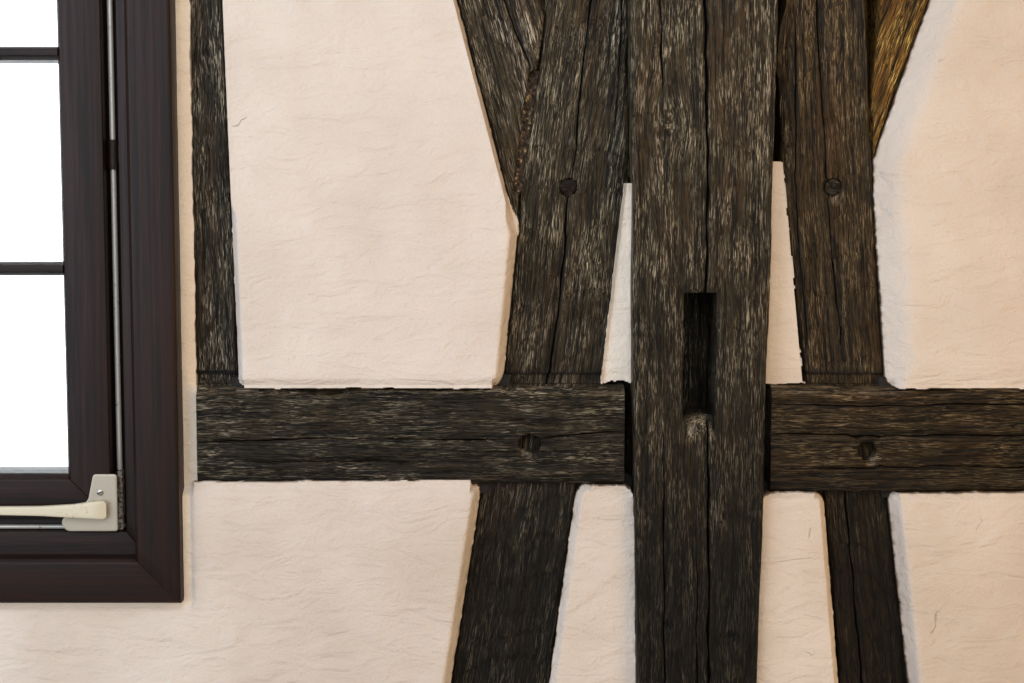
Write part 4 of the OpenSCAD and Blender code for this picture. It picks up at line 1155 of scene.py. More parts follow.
@dataclass
class TimberFrame:
    """The oak frame: sill, plate, posts, rails, braces and pegs.

    The two empty peg holes are given by height and place along X.
    """

    mortise: Mortise = Mortise(1.110, 1.264, 20 * MM, 74 * MM, 26 * MM)
    left_hole: Point = (1.072, 0.25848)
    right_hole: Point = (1.063, 0.68718)
    hole_mm: float = 60
    peg_radius: float = 10.8 * MM
    rail_end: float = 93 * MM
    rail_arris: Point = (7 * MM, 15 * MM)

    def build(self) -> None:
        """Builds every timber and peg."""
        for timber in (*self._plates(), *self._posts(), *self._rails(), *self._braces()):
            timber.build()
        self._pegs()

    def _plates(self) -> list[Timber]:
        """The sill plate and the top plate, which the camera doesn't see."""
        return [Timber(node, Way.LEVEL, DARK_OAK, seed, start=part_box(node)[0].x,
                       end=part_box(node)[1].x, bury=(0, 0), fine=5 * MM, step=9 * MM,
                       arris=(7 * MM, 7 * MM), hewing_mm=2, tuck=(0, 0))
                for node, seed in (("sill_plate", 11), ("top_plate", 42))]

    def _posts(self) -> list[Timber]:
        """The centre post, the end posts and the stud beside the window."""
        posts = [Timber("centre_post", seed=3, arris=(6 * MM, 4.5 * MM), fine=2.4 * MM,
                        step=4 * MM, hewing_mm=0.8, swell=(1.5 * MM, 2.5 * MM),
                        shakes=SHAKES["centre_post"], mortise=self.mortise,
                        knots=(Knot(1472, -46, 13), Knot(842, -36, 6), Knot(828, 44, 6)),
                        gaps=(Gap(-1, 1.20, 1.408, 3.6 * MM, 0.19, 60 * MM),))]
        for seed, node, tuck in ((51, "left_end_post", (0, 7 * MM)),
                                 (57, "right_end_post", (7 * MM, 0))):
            place = (centre_of(node)[0] - POST_AXIS) / MM
            shake = Shake(((300, place - 12), (900, place - 4), (1700, place + 6)), 3, 12)
            posts.append(Timber(node, seed=seed, fine=5 * MM, step=8 * MM, hewing_mm=1.6,
                                tuck=tuck, shakes=(shake,)))
        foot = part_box("left_rail")[1].z
        posts.append(Timber("window_stud", seed=61, start=foot, hewing_mm=0.8, finish=STUD_OAK,
                            ledge=foot, knots=(Knot(1565, -617, 5),)))
        return posts

    def _rails(self) -> list[Timber]:
        """The two rails with their peg holes."""
        hewn = {"arris": self.rail_arris, "hewing_mm": 0.9, "strike_mm": 64}
        holes = (Hole(*self.left_hole, self.hole_mm, torn_mm=3.4, chip=(-0.9, -0.42)),
                 Hole(*self.right_hole, self.hole_mm, torn_mm=4, chip=(-0.8, 0.6)))
        return [Timber("left_rail", Way.LEVEL, OAK, 71, start=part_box("left_rail")[0].x + 4.5 * MM,
                       end=POST_AXIS - self.rail_end, bury=(0, 0), ridge_mm=2.4, arris_highlight=0.8,
                       shakes=SHAKES["left_rail"], holes=holes[:1], **hewn),
                Timber("right_rail", Way.LEVEL, BROWN_OAK, 83, start=POST_AXIS + self.rail_end,
                       end=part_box("right_end_post")[0].x, bury=(0, 6 * MM), ridge_mm=2.6,
                       arris_highlight=0.7, low_shade=0.7, shakes=SHAKES["right_rail"], holes=holes[1:], **hewn)]

    def _braces(self) -> list[Timber]:
        """The long braces and the head braces."""
        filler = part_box("joint_filler")
        return [
            Timber("left_long_brace", seed=91, natural=Edge.LOW, hewing_mm=1.8,
                   arris=(5 * MM, 8 * MM), ledge=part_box("left_rail")[1].z, swell=(0, 2.5 * MM),
                   shakes=SHAKES["left_long_brace"], holes=(self._peg_hole("left_brace_peg"),)),
            Timber("right_long_brace", seed=97, natural=Edge.HIGH, hewing_mm=1.6,
                   arris=(9 * MM, 5 * MM), finish=BROWN_OAK, ledge=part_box("right_rail")[1].z,
                   shakes=SHAKES["right_long_brace"],
                   holes=(self._peg_hole("right_brace_peg", 1.5),),
                   gaps=(Gap(-1, 1.400, 1.500, 2 * MM, 30 * MM), Gap(-1, 1.500, 1.535, 3 * MM, MM),
                         Gap(-1, 1.535, HEAD_Z + 1, 15 * MM, 0.1))),
            Timber("left_head_brace", seed=103, natural=Edge.LOW, finish=TOP_LIT_OAK,
                   start=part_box("left_head_brace")[0].z, bury=(-4 * MM, 6 * MM), hewing_mm=1.3,
                   shakes=SHAKES["left_head_brace"],
                   gaps=(Gap(1, filler[0].z, filler[1].z, 11 * MM, 2 * MM),)),
            Timber("right_head_brace", seed=109, natural=Edge.HIGH, finish=WARM_LIT_OAK,
                   start=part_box("right_head_brace")[0].z, bury=(-4 * MM, 6 * MM), hewing_mm=1.3,
                   gaps=(Gap(-1, 1.490, HEAD_Z + 1, 15 * MM, 0.135),))]

    def _peg_hole(self, peg: str, torn_mm: float = 0.0) -> Hole:
        """The shallow hole in a brace round the end of a peg, torn below it by some mm and painted
        darker inside as shade.
        """
        x, _, z = centre_of(peg)
        return Hole(z, x, 5, dirt_and_shading=0.6, torn_mm=torn_mm, chip=(0.3, -0.95))

    def _pegs(self) -> None:
        """Builds the peg ends, whittled and slightly rounded."""
        for node, set_back, dirt_and_shading in (("left_brace_peg", 1.8 * MM, 0.5),
                                     ("right_brace_peg", 4 * MM, 0.6)):
            low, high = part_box(node)
            x, _, z = centre_of(node)
            shell = Shell()
            self._peg(shell, (x, z), (low.y + set_back, high.y), dirt_and_shading)
            shell.build("whittled_" + node, DARK_OAK, [node])
        low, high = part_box("frame_pegs")
        shell = Shell()
        for x in (low.x + self.peg_radius, POST_AXIS, high.x - self.peg_radius):
            for z in (low.z + self.peg_radius, high.z - self.peg_radius):
                self._peg(shell, (x, z), (low.y - 4 * MM, high.y), 0)
        shell.build("whittled_frame_pegs", DARK_OAK, ["frame_pegs"])

    def _peg(self, shell: Shell, centre: Point, span: Point, dirt_and_shading: float) -> None:
        """Adds one peg with eight whittled sides and a rounded end.

        Args:
            shell: The piece that takes it.
            centre: Its (x, z).
            span: Y of its end in the room and of its end in the wall.
            dirt_and_shading: Its share of dirt.
        """
        turn = turns(24)
        seed = round(centre[0] / MM)
        facets = 1 - 0.03 * np.abs(np.cos(4 * turn)) + 0.1 * ripple(seed, turn / 0.7)
        rings = []
        for size, y in ((0.02, 0.3), (0.25, 0.1), (0.5, 0), (0.7, 0.1), (0.84, 0.3), (0.96, 0.9),
                        (1, 2.2), (1, None)):
            radius = self.peg_radius * size * facets
            side, rise = centre[0] + radius * np.cos(turn), centre[1] + radius * np.sin(turn)
            rough = 2.4 * MM * ripple(seed + 1, side / 0.008, rise / 0.0035)
            place = np.full(24, span[1]) if y is None else span[0] + y * MM + rough * (y < 2)
            rings.append(np.stack([side, place, rise], 1))
        shell.loft(np.stack(rings), dirt_and_shading=np.full((8, 24), dirt_and_shading))


@dataclass
class Panel:
    """One infill panel, plastered by hand: a floated middle, steep margins and ragged laps.

    Its neighbours at the left and right are named CAD nodes, and the rail lies below an upper panel
    and above a lower one. The plaster laps over their room face, or stops in a seam beside one that
    stands in front of it. Its head laps further by the rise towards its right end, and above the
    top it has crumbled away. A tongue of plaster laps on at a point, a painted shadow darkens the left
    margin, and painted light whitens a panel that lies in shade. Its grid of x and z is filled when it
    is built.
    """

    node: str
    seed: int
    sides: tuple[str, str]
    upper: bool = True
    shoulder: float = 10 * MM
    sink: float = 9 * MM
    corner: float = 10 * MM
    lip: float = 1.3 * MM
    laps_mm: tuple[float, float, float, float] = (0.3, 0.3, 4.6, 0.5)
    rise_mm: float = 0.0
    top: float = 9.0
    bottom: float = 0.0
    soft: bool = False
    tight_above: float = 9.0
    tongue: Point | None = None
    tinge: float = 0.0
    painted_light: float = 0.0
    middle_columns: int = 44
    beside_window: bool = False
    strip_lap: float = 4 * MM
    recess: float = 4.5 * MM
    x: Array = field(init=False)
    z: Array = field(init=False)

    def build(self) -> None:
        """Builds the panel and fits it to the frame."""
        foot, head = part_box(self.node)
        window_x, window_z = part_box("window_frame")[1].x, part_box("window_frame")[0].z
        rows = self._rows(window_z)
        low, high = reach(self.node, Way.UPRIGHT, np.clip(rows, foot.z + 0.3 * MM, head.z - 0.3 * MM))
        if self.beside_window:
            flat = np.ones((len(rows), 1))
            limit = np.full(rows.shape, window_x)
            wide = self._columns(np.full(rows.shape, foot.x), limit, 26)
            wide = wide[:, wide[0] < window_x - 0.2 * MM]
            narrow = self._columns(limit, high, self.middle_columns)
            narrow = narrow[:, narrow[0] > window_x + 0.2 * MM]
            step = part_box("casing_right")[1].x + np.array([6, 8, 9.6, 11.2, 12.8, 15]) * MM
            narrow = np.sort(np.concatenate([narrow, step * flat], 1), 1)
            x = np.concatenate([wide, window_x * flat, narrow], 1)
        else:
            x = self._columns(low, high, self.middle_columns)
        used = np.ones((len(rows) - 1, x.shape[1] - 1), bool)
        if self.beside_window:
            used[rows[:-1] > window_z - 0.1 * MM, :wide.shape[1]] = False
        z = np.broadcast_to(rows[:, None], x.shape).copy()
        self.x, self.z = x, z
        front, dirt_and_shading = self._surface(self._borders(low, high))
        back = head.y - 1.2 * MM * (1 + ripple(self.seed + 12, x / 0.12, z / 0.12))
        shell = Shell()
        shell.slab(x, z, front, back, used, dirt_and_shading)
        shell.build("plastered_" + self.node, PLASTER, [self.node], crease=32)

    def _rows(self, window_z: float) -> Array:
        """Heights of the grid, close together along the foot, the head and the window.

        Args:
            window_z: Height of the window's foot.

        Returns:
            The heights in rising order.
        """
        floor, ceiling = (corner.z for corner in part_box(self.node))
        tops = (self.top,) if self.top < ceiling else ()
        middle = stations(floor + 16 * MM, ceiling - 16 * MM, 3.4 * MM, 9 * MM, SIGHT, tops)
        near = [window_z - step * MM for step in (26, 23.8, 22.2, 20.6, 19, 17, 15, 13, 12, 11, 10,
                                                  9, 0) if self.beside_window]
        middle = [z for z in middle if all(abs(z - place) > 1.5 * MM for place in near)]
        return np.array(sorted([*(floor + MARGIN), *middle, *near, *(ceiling - MARGIN)]))

    def _columns(self, low: Array, high: Array, middle: int) -> Array:
        """Places across the panel, close together along both sides.

        Args:
            low: Left edge at each height.
            high: Right edge at each height.
            middle: Number of columns between the margins.

        Returns:
            The places as rows and columns.
        """
        width = (high - low)[:, None]
        fitted = np.where(MARGIN > 0, MARGIN * np.minimum(1, width / (2.6 * MARGIN[-1])), MARGIN)
        left, right = low[:, None] + fitted, high[:, None] - fitted[:, ::-1]
        share = np.linspace(0, 1, middle + 2)[1:-1]
        between = left[:, -1:] + (right[:, :1] - left[:, -1:]) * share
        return np.concatenate([left, between, right], 1)

    def _borders(self, low: Array, high: Array) -> list[list[Array]]:
        """Measures the plaster's borders.

        Args:
            low: Left edge at each height.
            high: Right edge at each height.

        Returns:
            Distance, neighbour's face and lap towards the left, right, foot and head.
        """
        x, z = self.x, self.z
        foot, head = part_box(self.node)
        rows = z[:, 0]
        tilts = [np.cos(np.arctan(np.gradient(edge, rows)))[:, None] for edge in (low, high)]
        gaps = [(x - low[:, None]) * tilts[0], (high[:, None] - x) * tilts[1], z - foot.z, head.z - z]
        rail = self.node.split("_")[0] + "_rail"
        ends = (rail, "top_plate") if self.upper else ("sill_plate", rail)
        borders = [[gap, np.full(x.shape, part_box(name)[0].y), np.full(x.shape, lap * MM)]
                   for gap, name, lap in zip(gaps, self.sides + ends, self.laps_mm)]
        borders[3][2] += self.rise_mm * MM * smooth(0.22, 0.0, gaps[1])
        if self.tongue:
            away = np.hypot(x - self.tongue[0], z - self.tongue[1])
            borders[1][2] += 7 * MM * np.exp(-(away / (15 * MM))**2)
        if self.beside_window:
            casing_x, casing_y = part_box("casing_right")[1].x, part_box("casing_right")[0].y
            casing_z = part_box("casing_foot")[0].z
            above, beside = z > casing_z, x < casing_x
            left = np.where(above, x - casing_x, x - foot.x)
            around = self._from_casing()
            corner = ~above & ~beside & (around < left)
            borders[0][0] = np.where(corner, around, left)
            borders[3][0] = np.where(beside, casing_z - z, borders[3][0])
            for border, here in ((borders[0], above | corner), (borders[3], beside)):
                border[1] = np.where(here, casing_y, border[1])
                border[2] = np.where(here, self.strip_lap, border[2])
        return borders

    def _from_casing(self) -> Array:
        """Distance of points beside or below the casing from it."""
        casing_x, casing_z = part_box("casing_right")[1].x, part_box("casing_foot")[0].z
        return np.hypot(np.maximum(self.x - casing_x, 0), np.maximum(casing_z - self.z, 0))

    def _drop(self, distance: Array, face: Array, crown: float) -> Array:
        """How far the plaster lies behind its crown.

        Args:
            distance: Distance of each point from the neighbour.
            face: Y of the neighbour's face.
            crown: Y of the plaster's crown.

        Returns:
            The depth of each point.
        """
        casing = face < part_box("casing_right")[0].y + 3 * MM
        proud = face < crown - 2 * MM
        depth = np.where(proud, np.where(casing, 0, self.sink), face - self.lip - crown)
        shoulder = self.shoulder * (1 - 0.6 * smooth(0, 30 * MM, self.z - self.tight_above))
        shares = [0, 0.7, 0.86, 1] if self.soft else [0, 0.86, 0.985, 1]
        return depth * (1 - np.interp(distance / shoulder, [0, 0.8, 1.0, 1.3], shares))

    def _surface(self, borders: list[list[Array]]) -> tuple[Array, Array]:
        """Plasters the face.

        Args:
            borders: Distance, neighbour's face and lap on each side.

        Returns:
            Y of each point and its dirt.
        """
        x, z = self.x, self.z
        crown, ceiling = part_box(self.node)[0].y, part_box(self.node)[1].z
        side, end = ([np.where(one[0] < other[0], a, b) for a, b in zip(one, other)]
                     for one, other in (borders[:2], borders[2:]))
        strip = np.zeros(x.shape)
        if self.beside_window:
            strip = 1 - smooth(8.5 * MM, 16 * MM, self._from_casing())
        end[2] = end[2] * np.maximum(smooth(0, 14 * MM, side[0]), strip)
        radius = self.corner * (1 + 0.3 * ripple(self.seed + 2, z / 0.2, x / 0.2))
        near = (side[0] < radius) & (end[0] < radius) & (strip < 0.5)
        rounded = radius - np.hypot(radius - side[0], radius - end[0])
        side[0], end[0] = (np.where(near, rounded, border[0]) for border in (side, end))
        drops = [self._drop(border[0], border[1], crown) for border in (side, end)]
        drop = np.where(np.abs(drops[0]) > np.abs(drops[1]), drops[0], drops[1])
        inner, face, lap = (np.where(side[0] < end[0], a, b) for a, b in zip(side, end))
        ragged = (0.7 * ripple(self.seed + 3, x / 0.0055, z / 0.0055)
                  + 0.8 * ripple(self.seed + 4, x / 0.021, z / 0.021))
        lap = lap + MM * ragged * np.where(side[0] < end[0], 0.8, 1.4)
        share = np.clip(inner / self.shoulder, 0, 1)
        waves = (ripple(self.seed + 14, x / 0.17, z / 0.13)
                 + 0.5 * ripple(self.seed + 15, x / 0.06, z / 0.05))
        dents = ripple(self.seed + 16, x / 0.02, z / 0.018)
        lumps = np.maximum(0, ripple(self.seed + 17, x / 0.0045, z / 0.005)) * (1 - share)
        front = crown + drop + MM * share * (1.3 + 1.5 * waves + 0.4 * dents) - 1.3 * MM * lumps
        if self.beside_window:
            # The groove beside the casing runs on into the plaster strip round the window
            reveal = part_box("reveal_plaster")[0].y - 7 * MM - crown
            recess = self.recess + (reveal - self.recess) * smooth(-14 * MM, 0, z - ceiling)
            front += (recess - drop) * strip
        gone = (z > self.top + 2.5 * MM * ragged) | (z < self.bottom + MM * ragged)
        lost = (inner + lap < 0) | gone
        deep = np.maximum(crown + 22 * MM, face + 8 * MM) + 40 * MM * np.maximum(gone, strip)
        # Plaster lost behind the timbers and gone above its top lies deep, and is painted black as
        # shade
        front = np.where(lost, deep, front)
        # Soiling and painted shade in the seam along the timbers
        specks = smooth(-0.1, 0.5, ripple(self.seed + 18, x / 0.006, z / 0.006))
        dirt_and_shading = 0.9 * np.exp(-np.maximum(inner + lap, 0) / (1.1 * MM)) * specks
        # A painted shadow along the left margin, cast by the proud neighbour
        dirt_and_shading += self.tinge * np.exp(-np.maximum(borders[0][0], 0) / (7 * MM))
        # Painted light on panels and on the band beside the casing that lie in shade
        return front, np.where(lost, 2.0, (dirt_and_shading - self.painted_light) * (1 - strip) - strip)


@dataclass
class Infill:
    """All plaster: panels, wedges, the strip round the window and the mortar in a joint."""

    stud_lap: float = 1.8 * MM
    rail_lap: float = 4.5 * MM
    reveal_rise: float = 8 * MM
    mortar_lap: float = 2 * MM

    def build(self) -> None:
        """Builds every plastered field."""
        for panel in (*self._large_panels(), *self._narrow_panels()):
            panel.build()
        self._reveal()
        self._mortar()

    def _large_panels(self) -> list[Panel]:
        """The four panels outside the long braces."""
        return [
            Panel("left_upper_infill", 201, ("window_stud", "left_long_brace"),
                  tongue=(from_axis(-236), 1.355), tight_above=1.35),
            Panel("right_upper_infill", 211, ("right_long_brace", "right_end_post"),
                  shoulder=24 * MM, soft=True),
            Panel("left_lower_infill", 221, ("left_end_post", "left_long_brace"), False,
                  laps_mm=(0.3, 0.3, 3, 6.6), rise_mm=1.6, beside_window=True),
            Panel("right_lower_infill", 231, ("right_long_brace", "right_end_post"), False)]

    def _narrow_panels(self) -> list[Panel]:
        """The panels beside the centre post and those inside the head braces."""
        narrow = {"shoulder": 4 * MM, "sink": 1 * MM, "corner": 2 * MM, "middle_columns": 10}
        lower = {"shoulder": 8 * MM, "sink": 1.5 * MM, "corner": 13 * MM, "middle_columns": 18}
        return [
            Panel("left_upper_wedge", 241, ("left_long_brace", "centre_post"),
                  laps_mm=(0.3, 5, -3, 0.5), top=1.405, painted_light=1.0, **narrow),
            Panel("right_upper_wedge", 251, ("centre_post", "right_long_brace"),
                  laps_mm=(0.3, -3, 0, 0.5), top=1.428, tinge=0.5, painted_light=0.4, **narrow),
            Panel("left_head_infill", 261, ("left_head_brace", "left_long_brace"), bottom=1.71,
                  **narrow),
            Panel("right_head_infill", 271, ("right_long_brace", "right_head_brace"), **narrow),
            Panel("left_lower_wedge", 281, ("left_long_brace", "centre_post"), False, **lower),
            Panel("right_lower_wedge", 291, ("centre_post", "right_long_brace"), False, **lower)]

    def _reveal(self) -> None:
        """Builds the plaster strip between the window's fixed frame and the timbers."""
        low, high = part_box("reveal_plaster")
        inner_low, inner_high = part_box("window_frame")
        along = np.unique(np.concatenate([np.linspace(low.x, inner_low.x, 7),
                                          np.linspace(inner_low.x, inner_high.x, 90),
                                          np.linspace(inner_high.x, high.x, 7)]))
        rows = np.unique(np.concatenate([np.arange(inner_low.z, inner_high.z, 5 * MM),
                                         np.linspace(inner_high.z, high.z, 7)]))
        x, z = np.meshgrid(along, rows)
        rail_low, rail_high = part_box("left_rail")
        beside_rail = (z > rail_low.z - MM) & (z < rail_high.z + MM)
        ragged = MM * (0.8 * ripple(303, z / 0.007) + 0.8 * ripple(304, z / 0.021))
        lap = np.where(beside_rail, self.rail_lap, self.stud_lap) + ragged
        x = x + (x > high.x - 0.1 * MM) * lap
        middle_x, middle_z = (x[:-1, :-1] + x[1:, 1:]) / 2, (z[:-1, :-1] + z[1:, 1:]) / 2
        used = (middle_x < inner_low.x) | (middle_x > inner_high.x) | (middle_z > inner_high.z)
        used &= (middle_x < inner_high.x) | (middle_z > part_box("left_rail")[0].z)
        front = low.y + MM * (1.2 + ripple(301, x / 0.03, z / 0.06)
                              + 0.4 * ripple(302, x / 0.008, z / 0.01))
        front -= self.reveal_rise * np.where(beside_rail, 1, smooth(-MM, 9 * MM, high.x - x))
        rim = np.minimum(np.minimum(x - low.x, high.x - x), high.z - z)
        front -= 3 * MM * np.exp(-(rim / (3 * MM))**2)
        shell = Shell()
        shell.slab(x, z, front, np.full(x.shape, high.y), used)
        # The strip lies in the casing's shade and is plastered in the lighter colour, as painted light
        shell.build("plastered_reveal", LIGHTENED_PLASTER, ["reveal_plaster"])

    def _mortar(self) -> None:
        """Builds the lumpy mortar strip in the left head brace's joint."""
        low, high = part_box("joint_filler")
        rows = np.arange(low.z, high.z, 2 * MM)
        edge_low, edge_high = reach("joint_filler", Way.UPRIGHT,
                                    np.clip(rows, low.z + 0.3 * MM, high.z - 0.3 * MM))
        share = np.linspace(0, 1, 9)
        width = edge_high - edge_low + 2 * self.mortar_lap
        x = (edge_low - self.mortar_lap)[:, None] + width[:, None] * share
        z = np.broadcast_to(rows[:, None], x.shape)
        front = low.y + MM * (2.6 * ripple(311, x / 0.005, z / 0.008)
                              + 2.4 * ripple(312, x / 0.02, z / 0.03))
        shell = Shell()
        shell.slab(x, z, front, np.full(x.shape, high.y), np.ones((len(rows) - 1, 8), bool))
        shell.build("pressed_joint_mortar", MORTAR, ["joint_filler"])


@dataclass
class Member:
    """Mitred members round a rectangle, each swept from a profile.

    A profile is a row of (inwards, y) points, and all four have the same number of points.
    """

    low: Point
    high: Point
    profiles: dict[str, Array]
    seam: float = 0.7 * MM

    def add(self, shell: Shell, side: str) -> None:
        """Adds one member.

        Args:
            shell: The piece that takes it.
            side: foot, right, head or left.
        """
        here = SIDES.index(side)
        profile = self.profiles[side]
        ends = [self._corner(side, SIDES[(here + turn) % 4]) for turn in (-1, 1)]
        shares = np.concatenate([[0, 0.0012], np.linspace(0.02, 0.98, 25), [0.9988, 1]])
        rings = []
        for share in shares:
            flat = ends[0] + (ends[1] - ends[0]) * share
            dip = self.seam if share in (0, 1) else 0
            middle = (profile[:, 1].max() + profile[:, 1].min()) / 2
            depth = profile[:, 1] + np.where(profile[:, 1] < middle, dip, 0)
            rings.append(np.stack([flat[:, 0], depth, flat[:, 1]], 1))
        rings = np.stack(rings)
        along, across = (0, 2) if side in ("foot", "head") else (2, 0)
        grain = np.stack([rings[..., along] + here * 3.1, rings[..., across], rings[..., 1]], -1)
        shell.loft(rings, grain, flip=True)

    def _corner(self, *sides: str) -> Array:
        """Points of the mitre between two neighbours, as x and z."""
        inwards = {side: self.profiles[side][:, 0] for side in sides}
        x = self.low[0] + inwards["left"] if "left" in inwards else self.high[0] - inwards["right"]
        z = self.low[1] + inwards["foot"] if "foot" in inwards else self.high[1] - inwards["head"]
        return np.stack([x, z], 1)


@dataclass
class CasementWindow:
    """The wooden window: casing, fixed frame, sash, glazing bars, panes and outer board."""

    casing_bevel: float = 5 * MM
    casing_arris: float = 3 * MM
    casing_rebate: Point = (10 * MM, 9 * MM)
    frame_w: float = 63 * MM
    frame_low_h: float = 75 * MM
    groove: float = 17 * MM
    low_groove: float = 18 * MM
    rebate: float = 20 * MM
    lap: float = 15 * MM
    lap_depth: float = 28 * MM
    stile: float = 57 * MM
    sash_bevel: float = 12 * MM
    bar_w: float = 17 * MM
    bar_bevel: float = 14 * MM
    board_nose: float = 16 * MM
    board_drip: float = 6 * MM

    def build(self) -> None:
        """Builds every part of the window."""
        self._casing()
        self._fixed_frame()
        self._sash()
        self._bars()
        self._panes()
        self._outer_board()

    def _joined(self, node: str, profiles: dict[str, Array]) -> None:
        """Builds a mitred frame that fills a node's box.

        Args:
            node: The CAD node.
            profiles: Profile of each side.
        """
        low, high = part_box(node)
        members = Member((low.x, low.z), (high.x, high.z), profiles)
        shell = Shell()
        for side in SIDES:
            members.add(shell, side)
        shell.build("jointed_" + node, STAINED, [node])

    def _casing(self) -> None:
        """Builds the four casing boards with their bevelled inner edge."""
        low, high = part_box("casing_foot")
        width = high.z - low.z
        rebate_w, rebate_y = self.casing_rebate[0], high.y + self.casing_rebate[1]
        profile = soften([(0, rebate_y), (0, low.y + self.casing_arris),
                          (self.casing_arris, low.y), (width - self.casing_bevel, low.y),
                          (width, low.y + self.casing_bevel), (width, high.y),
                          (rebate_w, high.y), (rebate_w, rebate_y)], 1.2 * MM)
        boards = Member((low.x, low.z), (high.x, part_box("casing_head")[1].z),
                        dict.fromkeys(SIDES, profile))
        for side in SIDES:
            shell = Shell()
            boards.add(shell, side)
            shell.build("moulded_casing_" + side, STAINED, ["casing_" + side])

    def _fixed_frame(self) -> None:
        """Builds the fixed frame, whose rebate the sash laps over."""
        low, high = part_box("window_frame")
        lap_face = low.y + self.rebate
        profiles = {}
        for side in SIDES:
            width, groove = ((self.frame_low_h, self.low_groove) if side == "foot"
                             else (self.frame_w, self.groove))
            leg = width + groove + self.lap - 2 * MM
            profiles[side] = soften([(0, high.y), (0, low.y), (width, low.y), (width, lap_face),
                                     (leg, lap_face), (leg, high.y)], 1.5 * MM)
        self._joined("window_frame", profiles)

    def _sash(self) -> None:
        """Builds the sash with its lap and the bevel towards the glass."""
        low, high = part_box("window_sash")
        bevel, lap_y = self.sash_bevel, low.y + self.lap_depth
        profile = soften([(0, lap_y), (0, low.y), (self.stile - bevel / 2, low.y),
                          (self.stile, low.y + bevel), (self.stile, high.y), (self.lap, high.y),
                          (self.lap, lap_y)], 1.8 * MM)
        self._joined("window_sash", dict.fromkeys(SIDES, profile))

    def _bars(self) -> None:
        """Builds the glazing bars, bevelled towards the room."""
        low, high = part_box("glazing_bars")
        half = self.bar_w / 2
        cheek = low.y + self.bar_bevel
        profile = soften([(-half, cheek), (-half / 2, low.y), (half / 2, low.y), (half, cheek),
                          (half, high.y), (-half, high.y)], 1.0 * MM)
        third = (high.z - low.z + self.bar_w) / 3
        shell = Shell()
        for z in (low.z + third - half, low.z + 2 * third - half):
            rings = np.stack([np.insert(profile[:, ::-1] + (0, z), 0, x, 1)
                              for x in np.linspace(low.x - 2 * MM, high.x + 2 * MM, 25)])
            shell.loft(rings, rings, flip=True)
        rings = np.stack([np.insert(profile + (centre_of("glazing_bars")[0], 0), 2, z, 1)
                          for z in np.linspace(low.z - 2 * MM, high.z + 2 * MM, 37)])
        shell.loft(rings, rings[..., [2, 1, 0]])
        shell.build("moulded_glazing_bars", STAINED, ["glazing_bars"])

    def _panes(self) -> None:
        """Builds the six panes."""
        low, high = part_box("window_panes")
        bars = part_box("glazing_bars")
        pane_w = (bars[1].x - bars[0].x - self.bar_w) / 2
        pane_h = (bars[1].z - bars[0].z - 2 * self.bar_w) / 3
        bite = bars[0].x - low.x
        arris = 0.4 * MM
        shell = Shell()
        for column, row in itertools.product(range(2), range(3)):
            x = bars[0].x + column * (pane_w + self.bar_w) - bite
            z = bars[0].z + row * (pane_h + self.bar_w) - bite
            corners = plate((x, x + pane_w + 2 * bite), (z, z + pane_h + 2 * bite), 2 * MM)
            shell.loft(layers(corners, ((arris, low.y), (0, low.y + arris), (0, high.y - arris),
                                        (arris, high.y))), flip=True)
        shell.build("cut_window_panes", GLASS, ["window_panes"], crease=30)

    def _outer_board(self) -> None:
        """Builds the weathered board below the window outside."""
        low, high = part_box("outer_window_board")
        drip = self.board_drip
        groove = high.y - 2 * drip
        profile = soften([(low.y, low.z), (groove - drip / 2, low.z), (groove, low.z + drip / 2),
                          (groove + drip / 2, low.z), (high.y, low.z),
                          (high.y, low.z + self.board_nose), (low.y, high.z)], 2 * MM)
        rings = np.stack([np.insert(profile, 0, x, 1) for x in np.linspace(low.x, high.x, 60)])
        shell = Shell()
        shell.loft(rings, rings[..., [0, 2, 1]])
        shell.build("weathered_window_board", STAINED, ["outer_window_board"])


